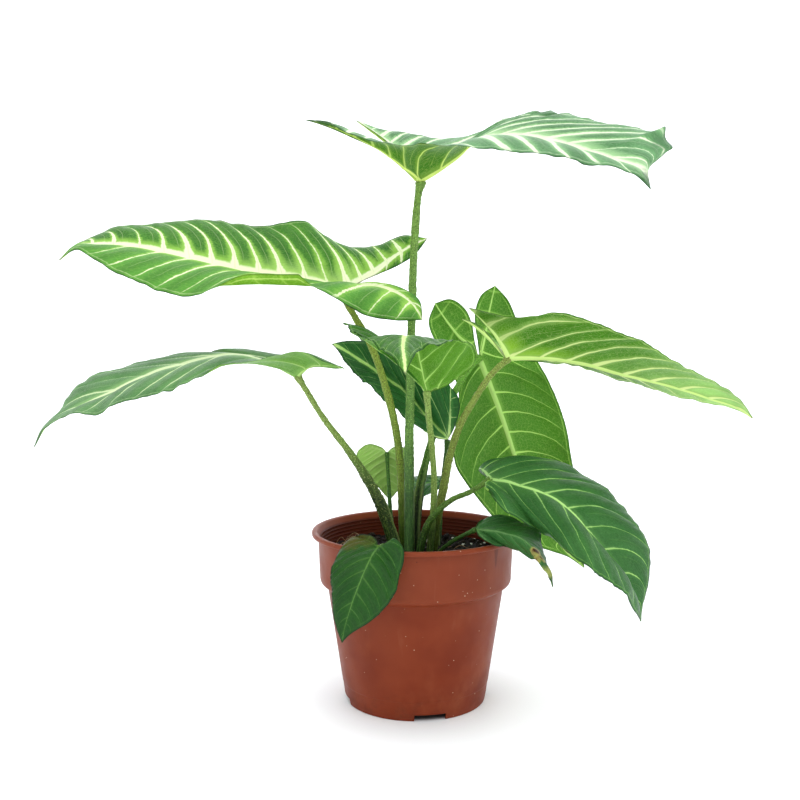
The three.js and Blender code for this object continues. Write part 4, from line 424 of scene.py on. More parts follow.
    # thin darker line along the margin
    edge = s.ramp(ed, 0.25, 1.1, 0.75, 0.0)
    upper = s.mix(edge, upper, tone([v * 0.55 for v in lam2]))
    lower = s.mix(M_(edge, 0.85), lower, tone([v * 0.62 for v in c["ulam"]]))
    colour = s.mix(up, lower, upper)
    rough = s.ramp(s.noise(obj, 260, 3, 0.6), 0.3, 0.7, c.get("r0", 0.38), c.get("r1", 0.52))
    face = s.math("SUBTRACT", M_(up, 2.0), 1.0)
    h = A_(M_(fine, 0.4), M_(s.noise(obj, 2400, 2, 0.6), 0.25))
    h = s.math("SUBTRACT", h, M_(M_(net, 0.5), face))
    h = s.math("SUBTRACT", h, M_(M_(s.math("MAXIMUM", vein, M_(wk, 0.6)), 1.0), face))
    nrm = s.bump(h, 0.45, 0.0004)
    haze = dict(Sheen_Weight=c["sheen"], Sheen_Roughness=0.4, Sheen_Tint=(0.86, 1.0, 0.9, 1.0)) if "sheen" in c else {}
    return s.done(colour, rough, nrm, spec=c.get("spec", 0.22), **haze)


GREEN = dict(lam=(84, 143, 56), lam2=(66, 124, 44), halo=(160, 210, 92), core=(243, 253, 205), ulam=(84, 137, 38), uvein=(200, 246, 130), band=1.2, mid=2.6)
LEAF_COLOURS = {
    "leaf_top": dict(GREEN, sheen=0.27, lam=(102, 155, 100), lam2=(70, 122, 70), halo=(178, 224, 160), core=(244, 254, 222), ulam=(74, 136, 16), uvein=(232, 255, 132), band=2.1, bandB=2.0, vary=(0.3, 1.5), mid=11.5, end=0.55, net=0.12, um=1.3, uw=0.75, reach=0.92, r0=0.42, r1=0.55, spec=0.3, lat=0.92, fray=2.6, hw2=2.5, flare=0.7, glow=0.6, glow_mm=26,
                     # painted shade: dark green patches at the two tips and along the curled far margin
                     tint_and_shade_spots=[((-63.3, -36, 379.2), 17, (52, 92, 50), 0.75), ((92, 28, 397), 13, (48, 96, 48), 0.6), ((147, -31, 339), 18, (40, 96, 40), 0.95), ((163, 0, 372), 12, (60, 108, 62), 0.6)]),
    "leaf_upper_left": dict(GREEN, core=(249, 255, 214), halo=(164, 216, 92), lam=(70, 131, 42), lam2=(50, 108, 33), lamB=(96, 160, 64), band=1.7, bandB=0.8, vary=(0.35, 1.45), mid=6.2, end=0.3, ulam=(118, 176, 44), uvein=(206, 240, 120), fray=2.3, hw2=2.3, hb=3.6, flare=1.3, glow=0.6, glow_mm=20, lat=1.0),
    "leaf_lower_left": dict(GREEN, lam=(98, 146, 86), lam2=(74, 120, 68), halo=(150, 196, 122), core=(240, 254, 206), band=0.95, vary=(0.15, 2.2), mid=6.0, lat=0.8, tint_and_shade_spots=[(tuple(BLADES["leaf_lower_left"]["midrib"][0]), 16, (58, 110, 48), 0.85)], ulam=(108, 166, 66), utip=(104, 156, 66), uvein=(186, 224, 126), net=0.14, glow=0.3, glow_mm=12, uw=0.5, um=1.2),
    "leaf_center_front": dict(GREEN, lam=(62, 116, 32), lam2=(46, 96, 26), halo=(112, 168, 70), core=(226, 252, 170), spec=0.14, band=0.5, mid=6.8, fray=3.4, lat=0.45, ulam=(92, 150, 46), uvein=(190, 238, 124), net=0.14, uw=0.6, um=1.2, uhk=0.4, glow=0.3, glow_mm=10, wk=0.15),
    "leaf_center_back": dict(GREEN, lam=(46, 104, 46), lam2=(30, 80, 34), halo=(84, 146, 72), core=(210, 244, 156), band=0.42, vary=(0.1, 1.6), mid=6.2, lat=0.5, halok=0.6, ulam=(72, 122, 44), uvein=(150, 200, 92), net=0.14, vein=0.35, glow=0.25, glow_mm=10),
    "leaf_right_long": dict(GREEN, ulam=(76, 138, 32), utip=(176, 234, 124), uvein=(236, 255, 166), uglow=(166, 220, 70), uw=1.35, um=2.6, uhalo=3.4, uhk=0.65, umid=(224, 255, 150), wk=0.12),
    "leaf_right_hanging": dict(GREEN, ulam=(86, 146, 44), uvein=(200, 250, 124), uw=0.55, ulobe=0.35, um=1.8, uhalo=1.2, uhk=0.2, umid=(196, 240, 132), wk=0.06),
    "leaf_right_front": dict(GREEN, lam=(60, 110, 54), lam2=(44, 92, 42), halo=(100, 156, 80), core=(190, 236, 142), band=0.55, mid=2.2, lat=0.75, halok=0.55, ulam=(84, 140, 50), uvein=(150, 196, 90), net=0.16, glow=0.1, reach=0.86, wku=0.2, veinc=(150, 206, 98)),
    "leaf_rim_right": dict(GREEN, lam=(58, 108, 54), lam2=(44, 88, 42), halo=(84, 130, 70), core=(108, 154, 90), band=0.4, mid=0.8, lat=0.5, halok=0.5, ulam=(80, 126, 56), uvein=(120, 160, 80), net=0.14, glow=0.0,
                           tint_and_shade_spots=[((75.3, -95, 108.4), 6.5, (186, 190, 104), 0.9), ((70.6, -85, 120.4), 5.0, (214, 196, 110), 0.85), ((72.2, -88.5, 115.6), 5.0, (206, 190, 104), 0.85),
                                  ((70.6, -85, 120.2), 3.6, (70, 42, 18), 1.0), ((72.2, -88.5, 115.6), 3.4, (64, 40, 18), 1.0)]),
    "leaf_rim_front_left": dict(GREEN, lam=(38, 82, 28), lam2=(30, 70, 24), halo=(60, 102, 44), core=(88, 132, 62), band=0.45, mid=0.7, lat=0.4, halok=0.45, ulam=(90, 140, 56), uvein=(140, 180, 80), net=0.14, vein=0.4, glow=0.0,
                                tint_and_shade_spots=[((-41.5, -60, 118.5), 13, (112, 84, 34), 0.42), ((-30.3, -62, 120.9), 10, (106, 80, 34), 0.32)]),
    "leaf_small_back_left": dict(GREEN, lam=(158, 210, 96), lam2=(138, 194, 84), halo=(168, 214, 110), core=(194, 234, 144), band=0.5, mid=0.9, lat=0.6, ulam=(164, 212, 104), uvein=(198, 234, 140), uw=0.4, um=0.9, glow=0.0, wk=0.15),
    "leaf_small_back": dict(GREEN, lam=(50, 102, 48), lam2=(40, 88, 40), halo=(76, 130, 66), core=(128, 178, 96), band=0.5, mid=0.8, lat=0.5, ulam=(78, 130, 50), uvein=(130, 172, 84), glow=0.0),
}

# ---------------------------------------------------------------- leaf geometry

def spline(P, u):
    """Catmull-Rom through the rows of P at parameters u (0..n-1)."""
    P = np.asarray(P, float)
    n = len(P)
    T = np.empty_like(P)
    T[1:-1] = (P[2:] - P[:-2]) / 2
    T[0] = P[1] - P[0]
    T[-1] = P[-1] - P[-2]
    k = np.clip(np.floor(u).astype(int), 0, n - 2)
    t = (u - k)[:, None]
    h00 = 2 * t ** 3 - 3 * t ** 2 + 1
    h10 = t ** 3 - 2 * t ** 2 + t
    h01 = -2 * t ** 3 + 3 * t ** 2
    h11 = t ** 3 - t ** 2
    return h00 * P[k] + h10 * T[k] + h01 * P[k + 1] + h11 * T[k + 1]


# forward sweep of the side veins on each half (linear, cubic; share of the midrib's length), margin waviness,
# rolled margins (side, from, to, start, height mm, turn) and local lifts (side, place, width, dx, dy, dz)
LEAF_FORM = {
    "leaf_top": dict(A=(0.22, 0.06), B=(0.10, 0.04), wave=0.45, nv=11, nvB=7.5, mtip=0.5, lobew=0.5,
                     lifts=[("A", 0.275, 0.016, (3, 0, 5.5)), ("A", 0.205, 0.02, (4.5, 0, -1)), ("A", 0.645, 0.012, (0, 2, 1.4)), ("A", 0.68, 0.010, (0, 2, -1.0)), ("A", 0.715, 0.010, (0, 2, 1.3)), ("A", 0.75, 0.009, (0, 2, -0.8)), ("A", 0.78, 0.01, (0, 2, 1.0)),
                            ("B", 0.30, 0.05, (0, 0, -1.5))]),
    "leaf_upper_left": dict(A=(-0.075, 0.10), B=(0.12, 0.03), wave=0.4, mtip=0.45, nvB=10, lobek=1.3, lobew=0.6, rolls=[("B", 0.56, 1.10, 4.6, 2.4)]),
    "leaf_lower_left": dict(A=(0.16, 0.03), B=(0.06, 0.04), wave=0.5, nv=8, mtip=0.5),
    "leaf_center_front": dict(A=(0.03, 0.06), B=(0.0, 0.10), wave=0.6, lobek=1.4, lobew=0.5),
    "leaf_center_back": dict(A=(0.02, 0.06), B=(0.02, 0.06), wave=0.5, nv=7, mtip=0.45, lobew=0.2, lobek=1.2),
    "leaf_right_long": dict(A=(0.1, 0.03), B=(0.11, 0.10), wave=0.35, nv=8.6, mtip=0.4, lobek=1.2),
    "leaf_right_hanging": dict(A=(-0.02, 0.11), B=(-0.02, 0.11), wave=0.35, lobek=1.1, lobew=0.5),
    "leaf_right_front": dict(A=(-0.02, 0.12), B=(0.0, 0.10), wave=0.35, ruffle=1.6, nv=8, nvB=7, mtip=0.4),
    "leaf_rim_right": dict(A=(0.0, 0.08), B=(0.0, 0.08), wave=0.8),
    "leaf_rim_front_left": dict(A=(-0.02, 0.10), B=(-0.02, 0.10), wave=0.4),
    "leaf_small_back_left": dict(A=(-0.02, 0.08), B=(-0.02, 0.08), wave=0.3),
    "leaf_small_back": dict(A=(0.0, 0.05), B=(0.0, 0.05), wave=0.4),
}


def make_leaf(name, spec, seed):
    r = random.Random(seed)
    form = LEAF_FORM[name]
    size = np.linalg.norm(np.diff(np.array(spec["midrib"]), axis=0), axis=1).sum()
    big = size > 90
    K = 16 if big else 8
    NA = 24 if big else 14
    NI = 10 if big else 6
    mid = np.array(spec["midrib"], float)
    nm = (len(mid) - 1) * K
    um = np.linspace(0, len(mid) - 1, nm + 1)
    MID = spline(mid, um)
    nv = form.get("nv", spec["nv"])
    mtip = form.get("mtip", 0.28)
    lobek = form.get("lobek", 1.7)
    lobew = form.get("lobew", 0.8)
    pts, att, faces = [], [], []     # att: ph, tt, hw, bb, ed, mw, sd

    def add(p, a):
        pts.append(p)
        att.append(a)
        return len(pts) - 1

    mid_id = [add(MID[i], [0] * 7) for i in range(nm + 1)]
    for side in "AB":
        sd = 0.0 if side == "A" else 1.0
        sl, sc = form[side]
        rib = np.array(spec["rib" + side], float)
        nl = (len(rib) - 1) * K
        RIB = spline(rib, np.linspace(0, len(rib) - 1, nl + 1))
        rib_len = np.linalg.norm(np.diff(RIB, axis=0), axis=1).sum()
        SP = np.vstack([MID, RIB[1:]])
        last = nm + nl
        OUT = spline(spec["outer" + side], np.linspace(0, len(spec["outer" + side]) - 1, last + 1))
        OUT[0], OUT[-1] = SP[0], SP[-1]
        bpar = np.concatenate([np.linspace(0, 1, nm + 1), 1 + np.linspace(0, rib_len / size, nl + 1)[1:]])
        span = bpar[-1] - 1
        across = OUT - SP
        width = np.linalg.norm(across, axis=1)
        along = np.gradient(OUT + SP, axis=0)
        nrm = np.cross(along, across)
        ln = np.linalg.norm(nrm, axis=1)
        nrm = nrm / np.maximum(ln, 1e-9)[:, None]
        nrm *= spec["upper"] * (1 if side == "A" else -1)
        for _ in range(8):
            nrm[1:-1] = (nrm[:-2] + 2 * nrm[1:-1] + nrm[2:]) / 4
        nrm /= np.maximum(np.linalg.norm(nrm, axis=1), 1e-9)[:, None]
        cam = spec["camber" + side]
        phase_off = r.uniform(0.1, 0.9)
        nvs = form.get("nvB", nv) if side == "B" else nv
        wv = [(r.uniform(2.2, 3.2), r.uniform(0, 6.28), 0.9), (r.uniform(4.6, 6.5), r.uniform(0, 6.28), 0.55), (r.uniform(10, 13), r.uniform(0, 6.28), 0.2)]
        noise_off = r.uniform(0, 90)
        grid = []
        tl = list((np.arange(NA + 1) / NA) ** 1.15)
        rolls = [q for q in form.get("rolls", ()) if q[0] == side]
        extra = 14 if rolls else 0
        if rolls:
            tl = [q * 0.86 for q in tl[:-1]] + [0.86 + 0.14 * (k + 1) / extra for k in range(extra)]
        for i in range(last + 1):
            row = []
            b = bpar[i]
            wk = min(1.0, width[i] / 30.0)
            lobe = max(0.0, b - 1) / span
            mwf = mtip + (1 - mtip) * min(1.0, b) ** 1.2 if b <= 1 else 0.08 + lobew * (1 - lobe) ** 1.3
            for j, t in enumerate(tl):
                if i == 0:
                    row.append(mid_id[0])
                    continue
                if j == 0 and i <= nm:
                    row.append(mid_id[i])
                    continue
                if i == last and j > 0:
                    row.append(row[0])
                    continue
                p = SP[i] + across[i] * t
                h = cam * min(1, width[i] / 35) * 4 * t * (1 - t)
                sweep = 1.0 if b < 0.95 else max(0.0, 1 - (b - 0.95) / 0.2)
                phase = nvs * (min(b, 1.0) + max(0.0, b - 1) * lobek + (sl * t + sc * t ** 3) * sweep) + phase_off
                f = abs((phase % 1.0) - 0.5) * 2       # 1 on a vein, 0 halfway
                quilt = (1 - f ** 2.2) - 0.55
                h += 0.95 * quilt * wk * (4 * t * (1 - t)) ** 0.6
                for fr, o, am in wv:
                    h += am * form["wave"] * 1.6 * wk * t ** 2.4 * math.sin(2 * math.pi * fr * b + o)
                h += 0.9 * wk * t ** 3 * noise.noise(Vector((b * 26 + noise_off, t * 3, 0.0)))
                q = p + nrm[i] * h
                if form.get("ruffle"):
                    q = q + across[i] / max(width[i], 1) * (form["ruffle"] * t ** 4 * noise.noise(Vector((b * 20 + noise_off, 5.0, 0.0))) * wk)
                for side_, b0, wd, (dx, dy, dz) in form.get("lifts", ()):
                    if side_ == side:
                        g = math.exp(-((b - b0) / wd) ** 2) * t ** 3
                        q = q + np.array([dx, dy, dz]) * g
                for _, b0, b1, hgt, turn in rolls:
                    e0 = min(1.0, max(0.0, (b - b0) / 0.24))
                    e1 = min(1.0, max(0.0, (b1 - b) / 0.12))
                    c_ = (e0 * e0 * (3 - 2 * e0)) * (e1 * e1 * (3 - 2 * e1))
                    t0 = 0.86
                    if c_ > 0 and t > t0:
                        s_ = (t - t0) / (1 - t0)
                        au = across[i] / width[i]
                        th = turn * c_
                        ell = (1 - t0) * width[i]
                        L = max(0.5, ell + (hgt * 2.2 - ell) * c_)
                        R_ = L / th
                        # the fold's outermost line stays on the outline of the blade
                        reach_ = R_ * math.sin(min(th, math.pi / 2))
                        base = SP[i] + across[i] * t0 + nrm[i] * (cam * min(1, width[i] / 35) * 4 * t0 * (1 - t0)) + au * (ell - reach_) * c_ * s_ ** 0.5
                        rolled = base + au * (R_ * math.sin(th * s_)) + nrm[i] * (R_ * (1 - math.cos(th * s_)))
                        q = q * (1 - c_) + rolled * c_
                row.append(add(q, [phase, t, width[i], b, width[i] * (1 - t), mwf, sd]))
            grid.append(row)
        flip = (side == "A") == (spec["upper"] > 0)
        for i in range(last):
            for j in range(len(tl) - 1):
                q = [grid[i][j], grid[i + 1][j], grid[i + 1][j + 1], grid[i][j + 1]]
                q2 = []
                for v in q:
                    if v not in q2:
                        q2.append(v)
                if len(q2) > 2:
                    faces.append(q2 if flip else q2[::-1])
        # inner strip, from the lobe rib to the sinus margin
        INN = spline(spec["inner" + side], np.linspace(0, len(spec["inner" + side]) - 1, nl + 1))
        INN[0], INN[-1] = RIB[0], RIB[-1]
        ig = []
        for i in range(nl + 1):
            w2 = INN[i] - RIB[i]
            wl = float(np.linalg.norm(w2))
            row = [grid[nm + i][0]]
            lobe = i / nl
            for j in range(1, NI + 1):
                t = j / NI
                if i == 0 or i == nl:
                    row.append(row[0])
                    continue
                phase = nvs * (1.0 + (bpar[nm + i] - 1) * lobek - 0.5 * sl * t) + phase_off
                h = 0.25 * cam * min(1, wl / 12) * 4 * t * (1 - t)
                row.append(add(RIB[i] + w2 * t + nrm[nm + i] * h, [phase, t, wl, bpar[nm + i], wl * (1 - t), 0.08 + lobew * (1 - lobe) ** 1.3, sd]))
            ig.append(row)
        for i in range(nl):
            for j in range(NI):
                q = [ig[i][j], ig[i + 1][j], ig[i + 1][j + 1], ig[i][j + 1]]
                q2 = []
                for v in q:
                    if v not in q2:
                        q2.append(v)
                if len(q2) > 2:
                    faces.append(q2[::-1] if flip else q2)
        if side == "A":
            for i in range(nm + 1):
                att[mid_id[i]] = [nv * bpar[i] + phase_off, 0.0, width[i], bpar[i], width[i], mtip + (1 - mtip) * bpar[i] ** 1.2, 0.0]
    P = np.array(pts)
    A = np.array(att, float)
    spacing = np.where(A[:, 6] > 0.5, size / form.get("nvB", nv), size / nv) / np.where(A[:, 3] > 1.001, lobek, 1.0)
    # vertex normals of the middle surface
    NRM = np.zeros_like(P)
    tris = []
    for f in faces:
        for k in range(1, len(f) - 1):
            tris.append((f[0], f[k], f[k + 1]))
    T = np.array(tris)
    fn = np.cross(P[T[:, 1]] - P[T[:, 0]], P[T[:, 2]] - P[T[:, 0]])
    for k in range(3):
        np.add.at(NRM, T[:, k], fn)
    NRM /= np.maximum(np.linalg.norm(NRM, axis=1), 1e-12)[:, None]
    t = A[:, 1]
    dmid = t * A[:, 2]
    bb = np.clip(A[:, 3], 0, 1)
    lobe = np.clip((A[:, 3] - 1) / max(1e-6, (A[:, 3].max() - 1)), 0, 1)
    join = np.exp(-((A[:, 3] - 1) / 0.07) ** 2)
    ridge = (0.2 + 1.1 * bb) * (1 - 0.8 * lobe) * (size / 180) ** 0.6 * (1 + 0.5 * join)
    rw = (0.6 + 0.9 * bb) * (1 - 0.6 * lobe) * (size / 180) ** 0.5 * (1 + 0.5 * join)
    half = 0.24 * (1 - t ** 10) + 0.05
    dl = (0.5 - np.abs(((A[:, 0]) % 1.0) - 0.5)) * spacing
    latr = 0.3 * np.exp(-(dl / 0.7) ** 2) * np.clip(1 - t, 0, 1) ** 0.5 * (t > 0)
    upper = P + NRM * (half - 0.35 * np.exp(-(dmid / 0.9) ** 2) * bb - 0.6 * latr)[:, None]
    lower = P - NRM * (half + ridge * np.exp(-(dmid / np.maximum(rw, 0.2)) ** 2) + latr)[:, None]
    n = len(P)
    V = np.vstack([upper, lower]) * MM + AXIS
    F = [list(f) for f in faces] + [[v + n for v in f[::-1]] for f in faces]
    directed = set()
    for f in faces:
        for a, b in zip(f, f[1:] + f[:1]):
            directed.add((a, b))
    for a, b in sorted(directed):
        if (b, a) not in directed:
            F.append([a, a + n, b + n, b])
    me = bpy.data.meshes.new("plant_" + name)
    me.from_pydata([tuple(v) for v in V], [], F)
    me.validate()
    cols = dict(ph=A[:, 0], tt=A[:, 1], hw=A[:, 2], bb=A[:, 3], ed=A[:, 4], mw=A[:, 5], sd=A[:, 6], sp=spacing)
    for an, data in cols.items():
        at = me.attributes.new(an, "FLOAT", "POINT")
        at.data.foreach_set("value", np.concatenate([data, data]).astype(np.float32))
    at = me.attributes.new("up", "FLOAT", "POINT")
    at.data.foreach_set("value", np.concatenate([np.ones(n), np.zeros(n)]).astype(np.float32))
    me.polygons.foreach_set("use_smooth", [True] * len(me.polygons))
    ob = bpy.data.objects.new("plant_" + name, me)
    bpy.context.scene.collection.objects.link(ob)
    return ob


# ---------------------------------------------------------------- petioles

def petiole_material(name, top, mid_, base, speck, dark):
    s = Nodes(name)
    obj = s.coords("Object")
    h, edge, ang, groove = s.attr("hh"), s.attr("edge"), s.attr("ang"), s.attr("groove_shade")
    streak = s.noise(s.combine(s.math("MULTIPLY", s.math("SINE", ang), 2.2), s.math("MULTIPLY", s.math("COSINE", ang), 2.2), s.math("MULTIPLY", s.attr("len"), 0.05)), 2.6, 4, 0.65)
    n1 = s.noise(obj, 950, 3, 0.7)
    n2 = s.voronoi(obj, 1050)
    n3 = s.noise(obj, 90, 3, 0.6)
    col = s.mix(s.ramp(s.math("ADD", h, s.math("MULTIPLY", s.math("SUBTRACT", n3, 0.5), 0.16)), dark * 0.6, dark * 1.1, smooth=False), tone(base), tone(mid_))
    col = s.mix(s.ramp(h, 0.4, 1.0), col, tone(top))
    col = s.mix(s.ramp(streak, 0.5, 0.72, 0.0, 0.5), col, tone([v * 0.62 for v in mid_]))
    col = s.mix(s.ramp(streak, 0.5, 0.3, 0.0, 0.45), col, tone([min(255, v * 1.3 + 8) for v in mid_]))
    dots = s.math("MULTIPLY", s.ramp(n1, 0.5, 0.62), s.ramp(h, 0.08, 0.35, 0.2, 0.75))
    col = s.mix(dots, col, tone(speck))
    pale = s.math("MULTIPLY", s.ramp(n2, 0.14, 0.3, 0.8, 0.0), s.ramp(h, 0.1, 0.4, 0.15, 0.8))
    col = s.mix(pale, col, tone([min(255, v * 1.45 + 22) for v in top]))
    # painted shade: the sheath's open groove is darkened
    col = s.mix(s.math("MULTIPLY", groove, 0.75), col, tone([v * 0.45 for v in base]))
    col = s.mix(s.math("MULTIPLY", edge, 0.7), col, tone((150, 166, 104)))
    rough = s.ramp(n1, 0.3, 0.7, 0.42, 0.6)
    hgt = s.math("ADD", s.math("MULTIPLY", n1, 0.7), s.math("SUBTRACT", s.math("MULTIPLY", streak, 0.5), s.math("MULTIPLY", n2, 0.5)))
    return s.done(col, rough, s.bump(hgt, 0.6, 0.0005), spec=0.25)


def make_petiole(name, rows, tip, sheath=0.3):
    rows = [list(map(float, q)) for q in rows]
    first = rows[0][:]
    start = [first[0], first[1], SOIL_Z - 5.0, first[3] * 1.08]
    rows = [start] + rows + [[tip[0], tip[1], tip[2] - 0.3, rows[-1][3] * 0.9]]
    R = np.array(rows)
    # drop points closer than 1.5 mm
    keep = [0]
    for k in range(1, len(R)):
        if np.linalg.norm(R[k, :3] - R[keep[-1], :3]) > 1.5 or k == len(R) - 1:
            keep.append(k)
    R = R[keep]
    seg = np.linalg.norm(np.diff(R[:, :3], axis=0), axis=1)
    total = seg.sum()
    n = max(20, int(total / 1.1))
    # arclength even sampling of the spline
    uu = np.linspace(0, len(R) - 1, n * 6)
    C = spline(R, uu)
    s_ = np.concatenate([[0], np.cumsum(np.linalg.norm(np.diff(C[:, :3], axis=0), axis=1))])
    target = np.linspace(0, s_[-1], n + 1)
    C = np.stack([np.interp(target, s_, C[:, k]) for k in range(4)], 1)
    L = s_[-1]
    sides = 36
    side = np.array([1.0, 0, 0])
    V, F, ang, hh, ed, ln, groove_shade_mask = [], [], [], [], [], [], []
    centre = np.array([0.0, 2.0, 0.0])
    for i in range(n + 1):
        p = C[i, :3]
        tg = C[min(i + 1, n), :3] - C[max(i - 1, 0), :3]
        tg /= np.linalg.norm(tg)
        side = side - tg * side.dot(tg)
        side /= np.linalg.norm(side)
        upv = np.cross(tg, side)
        f = i / n
        inward = centre - p
        inward[2] = 0
        if np.linalg.norm(inward) < 1:
            inward = np.array([0.3, 1.0, 0])
        inward = inward - tg * inward.dot(tg)
        ga = math.atan2(inward.dot(upv), inward.dot(side))
        # sheath: open on its inner side low down, closing higher up
        g = max(0.0, min(1.0, (sheath - f) / max(0.08, sheath * 0.5))) if sheath > 0 else 0.0
        rr = C[i, 3] * (1 + 0.04 * math.sin(f * 23 + p[0]))
        rr *= 1 + 0.5 * max(0.0, 1 - (1 - f) * L / 9.0) ** 2
        for j in range(sides):
            a = 2 * math.pi * j / sides
            d = (a - ga + math.pi) % (2 * math.pi) - math.pi
            groove = math.exp(-(d / 0.42) ** 2)
            lip = math.exp(-((abs(d) - 0.75) / 0.2) ** 2)
            k = 1 - g * 0.42 * groove + g * 0.16 * lip - 0.10 * (1 - g) * groove * 0.8
            k *= 1 + 0.022 * math.sin(7 * a + f * 3) + 0.018 * math.sin(11 * a - f * 5)
            k *= 1 + 0.2 * noise.noise(Vector((p[0] * 1.3 + 3 * math.cos(a), p[1] * 1.3 + 3 * math.sin(a), p[2] * 1.3))) * min(1.0, f * 3)
            q = p + side * (rr * k * math.cos(a)) + upv * (rr * k * math.sin(a))
            V.append(q)
            ang.append(a)
            hh.append(f)
            ln.append(f * L)
            ed.append(g * lip)
            # mask of the sheath's open groove, used as painted shade in the stalk's colour
            groove_shade_mask.append(g * math.exp(-(d / 0.34) ** 2))
    for i in range(n):
        for j in range(sides):
            a, b = i * sides + j, i * sides + (j + 1) % sides
            F.append([a, b, b + sides, a + sides])
    F.append([j for j in range(sides)][::-1])
    F.append([n * sides + j for j in range(sides)])
    me = bpy.data.meshes.new("stalk_" + name)
    me.from_pydata([tuple(np.array(v) * MM + AXIS) for v in V], [], F)
    me.validate()
    for an, data in (("ang", ang), ("hh", hh), ("edge", ed), ("len", ln), ("groove_shade", groove_shade_mask)):
        at = me.attributes.new(an, "FLOAT", "POINT")
        at.data.foreach_set("value", np.array(data, np.float32))
    me.polygons.foreach_set("use_smooth", [True] * len(me.polygons))
    ob = bpy.data.objects.new("stalk_" + name, me)
    bpy.context.scene.collection.objects.link(ob)
    return ob


# ---------------------------------------------------------------- pot

def lathe(profile, angles):
    n, m = len(angles), len(profile)
    V, F = [], []
    for a in angles:
        for r_, z in profile:
            V.append((r_ * math.cos(a), r_ * math.sin(a), z))
    for i in range(n):
        k = (i + 1) % n
        for j in range(m - 1):
            F.append([i * m + j, k * m + j, k * m + j + 1, i * m + j + 1])
    return V, F


def rounded(profile, radii, steps=4):
    """Rounds the corners of an open profile; radii are one per point, 0 for a sharp one."""
    out = []
    P = [np.array(p, float) for p in profile]
    for i, p in enumerate(P):
        r_ = radii[i]
        if r_ == 0 or i in (0, len(P) - 1):
            out.append(tuple(p))
            continue
        a, b = P[i - 1] - p, P[i + 1] - p
        la, lb = np.linalg.norm(a), np.linalg.norm(b)
        r_ = min(r_, la * 0.45, lb * 0.45)
        p0, p1 = p + a / la * r_, p + b / lb * r_
        for k in range(steps + 1):
            t = k / steps
            out.append(tuple((1 - t) ** 2 * p0 + 2 * t * (1 - t) * p + t * t * p1))
    return out


